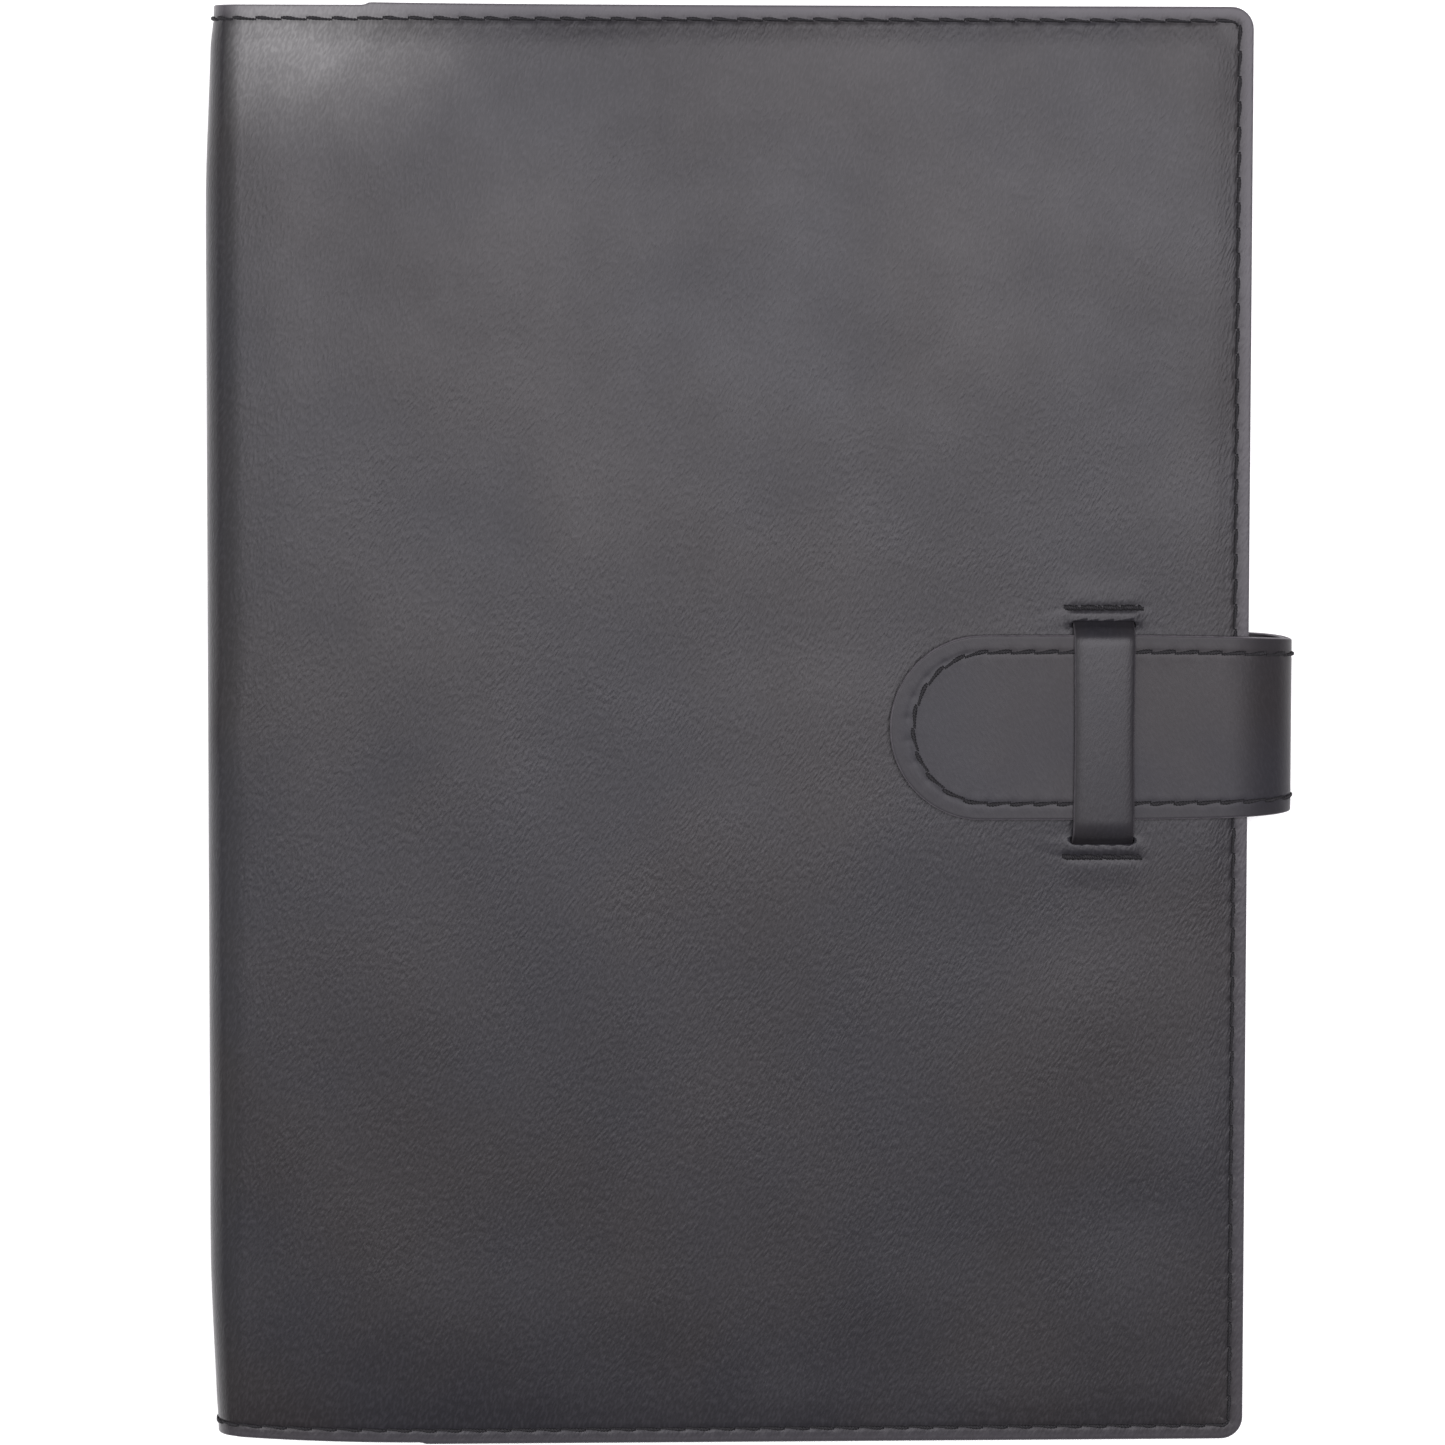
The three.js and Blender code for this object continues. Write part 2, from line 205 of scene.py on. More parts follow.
# the spine's bend, how far it is drawn in at its head and tail, and where the inner layers start
SPINE_BULGE = 5.0
SPINE_PINCH = 0.95
SPINE_X = span("spine_leather")[0][0] + SPINE_BULGE
POCKET_HEAD_X = span("front_pocket")[0][0]
POCKET_SLANT = 8.3
POCKET_TAIL_X = POCKET_HEAD_X + POCKET_SLANT
BOARD_X = span("front_cover_board")[0][0]

# each layer's thickness, and its depth under the cover's face where nothing presses it
LEATHER = 0.8
LINING = 0.3
CARD = 0.3
POCKET = 0.5
LINING_DEPTH = 0.9
CARD_DEPTH = 1.3
POCKET_DEPTH = 2.6
BOARD_LIFT = 0.9

# the seam, and the hem: the sewn edge, which is pressed down
SEAM_INSET = 2.2
STITCH = 3.85
HEM_DROP = 0.42
HEM_DROP_AT_TAIL = 0.18
HEM_FROM, HEM_TO = 1.2, 3.5
HEM_SLOPE = 6.8
HEM_CORNER = 9.0
SEAM_PUFF = 0.02

# how far the trimmed edge stands out over the pocket and beside it, and the tail's curve by the spine
TRIM_AT_POCKET = 0.3
TRIM_BESIDE, TRIM_BESIDE_AT_TAIL = -0.1, -0.25
TRIM_REACH = 22
TAIL_CURVE = 0.0013

# the fullness of the front panel beside the spine, and the painted highlight at the spine's head: a pale patch that
# stands in for the leather's sheen
CROWN = 0.5
CROWN_END = 26.0
WAVES = 0.055
SHEEN_PATCH_X = -67.0
SHEEN_PATCH_TONE = 0.25

# the strap
strap_low, strap_high = span("strap_tongue_leather")
STRAP_Y = (strap_low[1] + strap_high[1]) / 2
STRAP_HALF = (strap_high[1] - strap_low[1]) / 2
STRAP_R = 6.4
STRAP_EASE = 5.0
STRAP_TOP_Z = strap_high[2]
STRAP_Z = STRAP_TOP_Z - STRAP_R
STRAP_BEND_X = span("strap_bend_leather")[1][0] - STRAP_R
STRAP_TIP_X = strap_low[0]
STRAP_ROOT_X = span("strap_root_leather")[0][0]
STRAP_LAYER = 0.74
STRAP_THICK = 1.5
STRAP_SEAM_INSET = 2.6
STRAP_TIP_SEAM = 1.0
STRAP_STITCH = 3.65
STRAP_WAIST = 0.95
STRAP_WAIST_REACH = 38.0
BEND_FREE = 1.5  # half the height of the middle of the bend, which rides on the bend's own body

# the loop, its slits in the front leather and its bartacks
loop_low, loop_high = span("loop_band")
LOOP_LEATHER = 0.8
LOOP_X = (loop_low[0] + loop_high[0]) / 2
LOOP_Y = (loop_low[1] + loop_high[1]) / 2
LOOP_WIDTH = loop_high[0] - loop_low[0]
LOOP_TOP_Z = loop_high[2]
LOOP_TAB_Z = loop_low[2]
LOOP_END = (loop_high[1] - loop_low[1]) / 2
LOOP_ROLL = 0.38
LOOP_CROWN = 0.16
BARTACK_Y = span("loop_bartack_head")[0][1] - LOOP_Y + 0.25
BARTACK = 12.4
SLIT_FROM, SLIT_TO = 16.05, 17.3
SLIT_EASE = 0.25
LIP = 0.34  # how far the front leather stands up over each end of the loop

# the refill's sections
page_low, page_high = span("refill_section_1")
PAGE_X = page_high[0]
PAGE_SPINE_X = page_low[0]
PAGE_HALF = page_high[1]
SECTION = page_high[2] - page_low[2]
PITCH = span("refill_section_2")[0][2] - page_low[2]


def smooth(low, high, value):
    """0 below low, 1 above high, and a smooth step between."""
    t = np.clip((np.asarray(value, float) - low) / (high - low), 0, 1)
    return t * t * (3 - 2 * t)


def bell(value, width):
    """1 at 0, falling off on both sides over a width."""
    return np.exp(-((np.asarray(value, float) / width) ** 2))


# ---- profiles that wrap a flat sheet

class Profile:
    """A line of (x, z) points. place() turns a distance along it and a depth under it into x and z."""

    def __init__(self, points, outer):
        self.points = np.array(points, float)
        steps = np.hypot(*np.diff(self.points, axis=0).T)
        self.along = np.concatenate([[0], np.cumsum(steps)])
        tangent = np.gradient(self.points, self.along, axis=0)
        tangent /= np.hypot(*tangent.T)[:, None]
        self.normal = outer * np.stack([-tangent[:, 1], tangent[:, 0]], -1)

    def place(self, s, depth):
        found = []
        for axis in (0, 1):
            on_line = np.interp(s, self.along, self.points[:, axis])
            outward = np.interp(s, self.along, self.normal[:, axis])
            found.append(on_line - depth * outward)
        return found


def arc(centre, radii, start, end, count=90):
    """Points on an ellipse from one angle to another, in degrees from +X towards +Z."""
    angles = np.radians(np.linspace(start, end, count))
    return [(centre[0] + radii[0] * math.cos(a), centre[1] + radii[1] * math.sin(a)) for a in angles]


MARGIN = 20  # how far a profile's straight part runs past the sheet
spine_curve = arc((SPINE_X, MID_Z), (SPINE_BULGE, MID_Z), 180, 90)
PANEL = Profile(spine_curve + [(SPINE_X + 0.5, THICKNESS), (FORE_X + MARGIN, THICKNESS)], 1)
strap_curve = arc((STRAP_BEND_X - STRAP_EASE, STRAP_Z), (STRAP_R + STRAP_EASE, STRAP_R), 0, 90)
tongue_end = [(STRAP_BEND_X - STRAP_EASE - 0.5, STRAP_TOP_Z), (STRAP_TIP_X - MARGIN, STRAP_TOP_Z)]
STRAP = Profile(strap_curve + tongue_end, -1)
root_curve = arc((STRAP_BEND_X, STRAP_Z), (STRAP_R, STRAP_R), 0, 90)
root_end = [(STRAP_BEND_X - 0.5, STRAP_TOP_Z), (STRAP_ROOT_X - MARGIN, STRAP_TOP_Z)]
ROOT = Profile(root_curve + root_end, -1)
SPINE_ARC = PANEL.along[len(spine_curve) - 1]
STRAP_ARC = STRAP.along[len(strap_curve) - 1]
ROOT_ARC = ROOT.along[len(root_curve) - 1]


def panel_s(x):
    """The distance along the panel's profile of a place x on its flat part."""
    return x - SPINE_X + SPINE_ARC


def strap_s(x):
    """The distance along the strap's profile of a place x on the tongue's flat part."""
    return STRAP_BEND_X - STRAP_EASE - x + STRAP_ARC


PANEL_LENGTH = panel_s(FORE_X)
STRAP_LENGTH = strap_s(STRAP_TIP_X)


# ---- flat outlines, rings and routes

class Outline:
    """A flat sheet: an open end at s = start(y), two long edges and a far end with round corners."""

    def __init__(self, length, half, corner, step, start=lambda y: 0 * y):
        self.length, self.half, self.corner, self.start = length, half, corner, start
        along = np.linspace(0, 1, int((length - corner) / step))
        along = np.insert(along, 1, 0.0002)  # keeps the open end's shading flat
        turn = np.radians(np.linspace(90, 0, max(int(corner * math.pi / 2 / step), 4)))
        across = np.linspace(1, -1, max(int(2 * (half - corner) / step), 1) + 1)
        leg, round_, side = len(along), len(turn) - 1, len(across) - 1
        self.u = np.concatenate([along, np.ones(2 * round_ + side), along[-2::-1]])
        self.v = np.concatenate([np.ones(leg + round_), across[1:], -np.ones(round_ + leg - 1)])
        self.angle = np.concatenate(
            [np.full(leg, turn[0]), turn[1:], np.zeros(side), -turn[-2::-1], np.full(leg - 1, -turn[0])]
        )

    def ring(self, inset):
        """The outline's points moved inwards by an inset, one for each column of the sheet."""
        radius = max(self.corner - inset, 0)
        end = self.length - inset - radius
        y = self.v * max(self.half - inset - radius, 0) + radius * np.sin(self.angle)
        start = self.start(y)
        s = start + self.u * (end - start) + radius * np.cos(self.angle)
        return np.stack([s, y], -1)


class Route:
    """A line on a flat sheet, by the distance along it from its first point, which is at first."""

    def __init__(self, points, first=0.0):
        self.points = np.asarray(points, float)
        steps = np.hypot(*np.diff(self.points, axis=0).T)
        self.along = first + np.concatenate([[0], np.cumsum(steps)])
        self.end = self.along[-1]

    def at(self, a):
        return np.stack([np.interp(a, self.along, self.points[:, k]) for k in (0, 1)], -1)

    def across(self, a, reach=0.3):
        """The unit vector to the left of the line."""
        step = self.at(np.minimum(a + reach, self.end)) - self.at(np.maximum(a - reach, self.along[0]))
        step /= np.maximum(np.linalg.norm(step, axis=-1), 1e-9)[..., None]
        return np.stack([-step[..., 1], step[..., 0]], -1)

    def holes(self, pitch):
        """Evenly spaced stitch holes from one end to the other."""
        return np.linspace(self.along[0], self.end, round((self.end - self.along[0]) / pitch) + 1)


# ---- meshes

def add_object(name, data):
    """A new object in the scene."""
    made = bpy.data.objects.new(name, data)
    bpy.context.scene.collection.objects.link(made)
    return made


def make_object(name, points, faces, slot, attributes=None, caps=()):
    """A mesh object from points in millimetres. caps are the faces whose border stays sharp."""
    mesh = bpy.data.meshes.new(name)
    mesh.from_pydata((np.asarray(points) * MM).tolist(), [], faces)
    for key, values in (attributes or {}).items():
        values = np.asarray(values, np.float32)
        vector = values.ndim == 2
        layer = mesh.attributes.new(key, "FLOAT_VECTOR" if vector else "FLOAT", "POINT")
        layer.data.foreach_set("vector" if vector else "value", values.ravel())
    built = bmesh.new()
    built.from_mesh(mesh)
    built.verts.ensure_lookup_table()
    for cap in caps:
        face = built.faces.new([built.verts[i] for i in cap])
        for edge in face.edges:
            edge.smooth = False
    bmesh.ops.remove_doubles(built, verts=built.verts, dist=1e-6)
    bmesh.ops.dissolve_degenerate(built, edges=built.edges, dist=1e-8)
    bmesh.ops.recalc_face_normals(built, faces=built.faces)
    for face in built.faces:
        face.smooth = True
    built.to_mesh(mesh)
    built.free()
    made = add_object(name, mesh)
    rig.slot(made, slot)
    return made


def grid_faces(rows, columns, close_rows=False, close_columns=False, first=0):
    """Quads between neighbouring points of a grid."""
    faces = []
    for row in range(rows if close_rows else rows - 1):
        here, there = first + row * columns, first + (row + 1) % rows * columns
        for column in range(columns if close_columns else columns - 1):
            after = (column + 1) % columns
            faces.append((here + column, here + after, there + after, there + column))
    return faces


def end_caps(rings, count, first=0):
    """The two faces that close a tube of rings."""
    last = first + (rings - 1) * count
    return [tuple(range(first, first + count)), tuple(range(last, last + count))]


def rounding(inset, radius):
    """How far a rounded edge falls below the surface at an inset from that edge."""
    left = np.clip(radius - inset, 0, radius)
    return radius - np.sqrt(radius**2 - left**2)


EDGE_INSETS = (0, 0.25, 0.6, 1.0)


def sheet_object(
    name, outline, profile, top, bottom, insets, under, place, slot, edge=0.24, trim=0.0, side=1
):
    """A sheet between two surfaces, top and bottom, wrapped on a profile.

    Each surface is a function of s, y, the inset from the edge and the distance along the seam, and
    gives a depth. edge is the radius of its edges, trim how far the sheet stops short of its outline,
    and side is -1 where the sheet's own s runs the other way in the texture.
    """
    seam_line = outline.ring(SEAM_INSET)
    seam = Route(seam_line, seam_line[0, 0]).along
    corner = [trim + edge * part for part in EDGE_INSETS]
    upper = [(inset, top, 1) for inset in (*corner, *insets)]
    lower = [(inset, bottom, -1) for inset in (*corner, *under)]
    points, flat, insets_found = [], [], []
    for inset, surface, down in upper[::-1] + lower:
        s, y = outline.ring(inset).T
        depth = surface(s, y, inset, seam) + down * rounding(inset - trim, edge)
        x, z = profile.place(s, depth)
        points.append(place(x, y, z, s, inset))
        flat.append(np.stack([side * s, y, 0 * s], -1))
        insets_found.append(inset - trim + 0 * s)
    rings, columns = len(points), len(outline.u)
    faces = grid_faces(rings, columns)
    first = [ring * columns for ring in range(rings)]
    last = [ring * columns + columns - 1 for ring in reversed(range(rings))]
    attributes = {"flat": np.concatenate(flat) * MM, "inset": np.concatenate(insets_found) * MM}
    return make_object(name, np.concatenate(points), faces, slot, attributes, [first + last])


def tubes(name, centres, across, upward, radius, wrapped, slot, ring=6):
    """Round tubes, one for each row of centre lines. radius has a value for each point along a line."""
    turn = np.linspace(0, 2 * math.pi, ring, endpoint=False)
    sides = np.cos(turn)[:, None] * across[:, :, None, :] + np.sin(turn)[:, None] * upward
    points = centres[:, :, None, :] + sides * radius[None, :, None, None]
    lines, length = centres.shape[:2]
    faces = []
    for line in range(lines):
        first = line * length * ring
        faces += grid_faces(length, ring, close_columns=True, first=first)
        faces += end_caps(length, ring, first)
    return make_object(name, wrapped(points.reshape(-1, 3)), faces, slot)


PLY_RADIUS = 0.13
PLY_TURN = 0.11  # how far each ply lies from the middle of the thread
PLY_TWISTS = 4
STITCH_POINTS = 19
STITCH_PAST = 0.02  # the share of its length that a stitch runs past each hole
STITCH_DIVE = 0.12  # how far its ends go down into the holes


def stitches(name, route, holes, depth_at, profile, place, side=1, size=1.0, lift=0.14, lean=0.13):
    """Twisted two-ply stitches from hole to hole along a route.

    Each one leans across the route and goes down into its holes. lift is its height, lean how far it
    leans, size its thickness as a share of the usual, and side is -1 on the under side of a sheet.
    """
    u = np.linspace(0, 1, STITCH_POINTS)
    start, end = holes[:-1, None], holes[1:, None]
    a = start + (end - start) * ((1 + 2 * STITCH_PAST) * u - STITCH_PAST)
    at, across = route.at(a), route.across(a)
    arch = np.sin(math.pi * u)
    rise = lift * arch**0.4 - STITCH_DIVE * (1 - np.minimum(arch * 4, 1)) ** 2
    radius = PLY_RADIUS * size * (0.85 + 0.9 * bell(u - 0.3, 0.24))
    base = depth_at(at[..., 0], at[..., 1], a)
    centres = []
    for ply in (0, 1):
        twist = 2 * math.pi * PLY_TWISTS * u + math.pi * ply
        sideways = size * (lean * np.cos(math.pi * u) + PLY_TURN * np.cos(twist))
        depth = base - side * (rise + PLY_TURN * size * np.sin(twist))
        flat = at + across * sideways[:, None]
        centres.append(np.concatenate([flat, depth[..., None]], -1))
    flat_across = np.concatenate([across, 0 * across[..., :1]], -1)

    def wrapped(points):
        x, z = profile.place(points[:, 0], points[:, 2])
        return place(x, points[:, 1], z, points[:, 0], SEAM_INSET)

    up = np.array([0, 0, 1.0])
    both_across = np.concatenate([flat_across] * 2)
    return tubes(name, np.concatenate(centres), both_across, up, radius, wrapped, "thread")


# ---- the panels' surfaces

def undulation(seed, size, low=22.0, high=70.0, waves=14):
    """Slow waves in a flat sheet, as a function of s and y."""
    rng = np.random.default_rng(seed)
    length = rng.uniform(low, high, waves)
    heading = rng.uniform(0, math.pi, waves)
    phase = rng.uniform(0, 2 * math.pi, waves)
    share = size * math.sqrt(2 / waves)

    def height(s, y):
        total = 0.0
        for wave in range(waves):
            run = s * math.cos(heading[wave]) + y * math.sin(heading[wave])
            total = total + np.sin(2 * math.pi * run / length[wave] + phase[wave])
        return share * total

    return height


def away_from_root(y):
    """0 where the strap's root lies between the back panel's layers, and 1 away from it."""
    return smooth(STRAP_HALF + 0.6, STRAP_HALF + 5, np.abs(y - STRAP_Y))


def pressed(inset, y, front, low=HEM_FROM, high=HEM_TO):
    """1 at the panel's sewn edge, where its layers are pressed together, and 0 inside it."""
    return (1 - smooth(low, high, inset)) * (1 if front else away_from_root(y))


def hem_inset(s, y, inset):
    """The inset that the hem's slope follows. It turns the corners on a larger radius than the edge."""
    to_fore = np.maximum(HEM_CORNER - (PANEL_LENGTH - s), 0)
    to_end = np.maximum(HEM_CORNER - (HALF_HEIGHT - np.abs(y)), 0)
    return np.minimum(inset, np.maximum(HEM_CORNER - np.hypot(to_fore, to_end), 0))


def hem_drop(y):
    """How far the sewn edge lies below the panel's face. The tail is pressed down less than the head."""
    return HEM_DROP + (HEM_DROP_AT_TAIL - HEM_DROP) * smooth(30, HALF_HEIGHT - 5, -y)


def seam_dip(across, a, holes, groove=0.04, hole=0.1):
    """How far a sheet is drawn down along its seam, and further at each hole."""
    index = np.clip(np.searchsorted(holes, a), 1, len(holes) - 1)
    to_hole = np.minimum(np.abs(a - holes[index - 1]), np.abs(a - holes[index]))
    puff = SEAM_PUFF * bell(across - 0.8, 0.4) + SEAM_PUFF * bell(across + 0.8, 0.4)
    between = 1 - bell(to_hole, 0.9)
    return groove * bell(across, 0.4) + hole * bell(across, 0.5) * bell(to_hole, 0.5) - puff * between


PANEL_OUTLINE = Outline(PANEL_LENGTH, HALF_HEIGHT, CORNER, 0.55)
LINING_OUTLINE = Outline(PANEL_LENGTH, HALF_HEIGHT, CORNER, 1.3)
SEAM = Route(PANEL_OUTLINE.ring(SEAM_INSET))
SEAM_HOLES = SEAM.holes(STITCH)


def hand_trim(s, y, inset):
    """How far the trimmed edge stands out: more where the pocket is sewn in, and less beside it."""
    past = s - panel_s(np.where(y > 0, POCKET_HEAD_X, POCKET_TAIL_X))
    with_pocket = np.where(y > 0, TRIM_AT_POCKET * np.exp(-np.maximum(past, 0) / TRIM_REACH), 0)
    before = np.clip(-past, 0, 30)
    without = np.where(y > 0, TRIM_BESIDE, TRIM_BESIDE_AT_TAIL)
    shift = without + (with_pocket - without) * smooth(-0.9, 0.3, past)
    curved = np.where(y > 0, 0, TAIL_CURVE * before**2) * (1 - smooth(0, 16, inset))
    return np.sign(y) * (np.abs(y) > HALF_HEIGHT / 2) * (shift * (1 - smooth(0, 3.2, inset)) - curved)


def spine_pinch(s, y):
    """How far the spine draws in at its head and tail, where the seams hold it."""
    to_end = smooth(HALF_HEIGHT - 32, HALF_HEIGHT, np.abs(y))
    return SPINE_PINCH * to_end * (1 - smooth(0, SPINE_ARC + 3, s))


def cover_place(front):
    """Places a panel's points. The back panel is the front one turned over."""
    def place(x, y, z, s, inset):
        height = z if front else THICKNESS - z
        return np.stack([x + spine_pinch(s, y), y + hand_trim(s, y, inset), height], -1)
    return place


def lip_rise(s, y):
    """The front panel's leather stands up over the loop's ends, between each slit and its bartack."""
    away = np.abs(y - LOOP_Y)
    across = np.abs(s - panel_s(LOOP_X))
    over_tab = smooth(SLIT_FROM, SLIT_TO, away) * (1 - smooth(BARTACK_Y - 0.8, BARTACK_Y, away))
    beyond = smooth(BARTACK_Y, BARTACK_Y + 0.8, away) * (1 - smooth(LOOP_END - 2, LOOP_END + 2, away))
    width = 1 - smooth(LOOP_WIDTH / 2 - 0.3, LOOP_WIDTH / 2 + 1.8, across)
    tack = bell(away - BARTACK_Y, 0.5) * (1 - smooth(5.6, 7.0, across))
    return width * (LIP * over_tab + 0.07 * beyond) - 0.04 * tack


def lip_depth(s, y, a):
    """The depth of the bartacks, which lie on the lips."""
    return -lip_rise(s, y) - 0.02


def crown(s, y):
    """How full the front panel stands beside the spine. It falls to the seams at its head and tail."""
    to_end = np.clip((HALF_HEIGHT - SEAM_INSET - np.abs(y)) / CROWN_END, 0, 1)
    return CROWN * (1 - (1 - to_end) ** 2) * smooth(3, 18, s) * (1 - smooth(25, 90, s))


def skin_top(front):
    """The face of a panel. The back panel lies on the table, so its waves only go inwards."""
    waves = undulation(11 if front else 23, WAVES)
    highest = math.inf if front else 0.0

    def depth(s, y, inset, a):
        down = pressed(hem_inset(s, y, inset), y, front, HEM_FROM, HEM_SLOPE)
        loose = smooth(0, 12, s) * (1 - down)
        rise = lip_rise(s, y) + crown(s, y) if front else 0
        rise = rise + np.minimum(waves(s, y), highest) * loose
        return hem_drop(y) * down + seam_dip(inset - SEAM_INSET, a, SEAM_HOLES) - rise
    return depth


def skin_bottom(front):
    """The hidden side of a panel's leather."""
    return lambda s, y, inset, a: LEATHER + hem_drop(y) * pressed(inset, y, front)


def lifted(s):
    """How far the board lifts the layers under it, away from the spine."""
    return BOARD_LIFT * smooth(SPINE_ARC, panel_s(BOARD_X) - 1, s)


def lining_depth(front, under=0.0):
    """The lining lies on the board, and comes up to the leather at the seam."""
    def depth(s, y, inset, a):
        free = LINING_DEPTH + lifted(s)
        down = pressed(inset, y, front, SEAM_INSET, 2.9)
        return free + (LEATHER + hem_drop(y) + 0.05 - free) * down + under
    return depth


def pocket_depth(front, under=0.0):
    """The pocket lies under the refill's card, and is sewn in with the lining."""
    def depth(s, y, inset, a):
        down = pressed(inset, y, front, SEAM_INSET, 3.3)
        sewn = LEATHER + hem_drop(y) + LINING + 0.1
        return POCKET_DEPTH + (sewn - POCKET_DEPTH) * down + under
    return depth


def card_depth(under=0.0):
    """The refill's card lies on the lining."""
    return lambda s, y, inset, a: CARD_DEPTH + lifted(s) + under


def inner_seam_depth(front):
    """The depth of the panel's inner side at the seam, under the pocket or under the lining."""
    def depth(s, y, a):
        start = panel_s(np.where(y > 0, POCKET_HEAD_X, POCKET_TAIL_X))
        lining = lining_depth(front, LINING)(s, y, SEAM_INSET, a)
        pocket = pocket_depth(front, POCKET)(s, y, SEAM_INSET, a)
        return lining + (pocket - lining) * smooth(-1, 0.5, s - start)
    return depth


# ---- the panels' pieces

# the insets of a sheet's rings of points, which lie closest together at the seam and over the loop
SEAM_RINGS = (0.6, 1.0, 1.4, 1.7, 1.95, 2.2, 2.45, 2.7, 3.0, 3.3, 3.8, 4.8, 6.5, 9, 12, 15)
LOOP_RINGS = tuple(np.arange(16.2, 29.5, 0.8))
FIELD_RINGS = (34, 42, 52, 63, 75, 87, 99, HALF_HEIGHT)
UNDER_RINGS = (1.2, 2.1, 2.7, 3.3, 4.2, 5.2, 10, 30, 60, HALF_HEIGHT)
CARD_RINGS = (1, 3, 30, PAGE_HALF)
ROUND_CORNER_SHARE = 0.998  # the share of its rectangle that a lining with round corners covers


def bend_round_spine(piece, front):
    """Blends a piece from the spine's body, at mid-spine, to its panel's body."""
    middle = (SPINE_X - 0.75 * SPINE_BULGE, MID_Z + (0.8 if front else -0.8))
    flat = (SPINE_X, THICKNESS if front else 0.0)
    places = [(x * MM, 0, z * MM) for x, z in (middle, flat)]
    if front:
        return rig.blend(piece, "spine", "front_cover", *places)
    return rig.blend(piece, "back_cover", "spine", places[1], places[0])


def slit_cutter(sign):
    """A slot through the front panel's leather for one end of the loop."""
    half_x, half_y = LOOP_WIDTH / 2 + SLIT_EASE, (SLIT_TO - SLIT_FROM) / 2
    y = LOOP_Y + sign * (SLIT_FROM + SLIT_TO) / 2
    rim = []
    for side, start in ((1, -90), (-1, 90)):
        centre = (LOOP_X + side * (half_x - half_y), y)
        rim += arc(centre, (half_y, half_y), start, start + 180, 7)
    count = len(rim)
    below, above = THICKNESS - 1.4, THICKNESS + 1.5
    points = [(x, y, z) for z in (below, above) for x, y in rim]
    faces = grid_faces(2, count, close_columns=True) + end_caps(2, count)
    return make_object(f"slit_{sign}", points, faces, "cover_leather")


def cut_slits(leather):
    """Cuts the loop's two slits, and gives the cut faces the flat coordinates that their place has."""
    cutters = [slit_cutter(sign) for sign in (1, -1)]
    for cutter in cutters:
        cut = leather.modifiers.new(cutter.name, "BOOLEAN")
        cut.operation = "DIFFERENCE"
        cut.solver = "EXACT"
        cut.object = cutter
    graph = bpy.context.evaluated_depsgraph_get()
    leather.data = bpy.data.meshes.new_from_object(leather.evaluated_get(graph))
    leather.modifiers.clear()
    for cutter in cutters:
        bpy.data.objects.remove(cutter)
    mesh = leather.data
    for vertex in mesh.vertices:
        x, y, z = (value / MM for value in vertex.co)
        if abs(x - LOOP_X) < LOOP_WIDTH and abs(y - LOOP_Y) < LOOP_END:
            mesh.attributes["flat"].data[vertex.index].vector = (panel_s(x) * MM, y * MM, 0)
            mesh.attributes["inset"].data[vertex.index].value = (FORE_X - x) * MM


def panel_sheet(name, outline, surfaces, rings, front, slot, under=UNDER_RINGS, **edges):
    """One layer of a panel, between its two surfaces."""
    turned = 1 if front else -1
    place = cover_place(front)
    return sheet_object(
        name, outline, PANEL, *surfaces, rings, under, place, slot, side=turned, **edges
    )


def make_skin(side, front):
    """A panel's leather, with its half of the spine. The front one has the loop's slits."""
    rings = SEAM_RINGS + (LOOP_RINGS if front else (20, 26)) + FIELD_RINGS
    surfaces = skin_top(front), skin_bottom(front)
    skin = panel_sheet(side + "_skin", PANEL_OUTLINE, surfaces, rings, front, "cover_leather")
    if front:
        cut_slits(skin)
    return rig.replaces(skin, side + "_cover_leather", *([] if front else ["spine_leather"]))


def make_lining(side, front):
    surfaces = lining_depth(front), lining_depth(front, LINING)
    lining = panel_sheet(
        side + "_lining", LINING_OUTLINE, surfaces, UNDER_RINGS, front, "lining", edge=0.12, trim=0.2
    )
    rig.replaces(lining, side + "_cover_lining", *([] if front else ["spine_lining"]))
    flat_area = ROUND_CORNER_SHARE * PANEL_LENGTH * 2 * HALF_HEIGHT * MM**2
    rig.sheet(
        lining, flat=(PANEL_LENGTH * MM, 2 * HALF_HEIGHT * MM), held="stretched",
        rests_on=[side + "_cover_board"], area=flat_area,
    )
    return lining


def make_pocket(side, front):
    """The leather pocket for the refill's card. Its free edge slants."""
    def start(y):
        return panel_s((POCKET_HEAD_X + POCKET_TAIL_X) / 2 - y / HALF_HEIGHT * POCKET_SLANT / 2)

    outline = Outline(PANEL_LENGTH, HALF_HEIGHT, CORNER, 1.3, start)
    surfaces = pocket_depth(front), pocket_depth(front, POCKET)
    pocket = panel_sheet(
        side + "_pocket_leather", outline, surfaces, UNDER_RINGS, front, "pocket_leather",
        edge=0.2, trim=0.15,
    )
    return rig.replaces(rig.ride(pocket, side + "_cover"), side + "_pocket")


def make_card(side, front):
    """Half of the refill's own card cover."""
    outline = Outline(panel_s(PAGE_X), PAGE_HALF, 2.0, 3.0)
    surfaces = card_depth(), card_depth(CARD)
    card = panel_sheet(
        side + "_card", outline, surfaces, CARD_RINGS, front, "refill_card", CARD_RINGS, edge=0.08
    )
    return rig.replaces(card, f"refill_{side}_card", *([] if front else ["refill_spine_card"]))


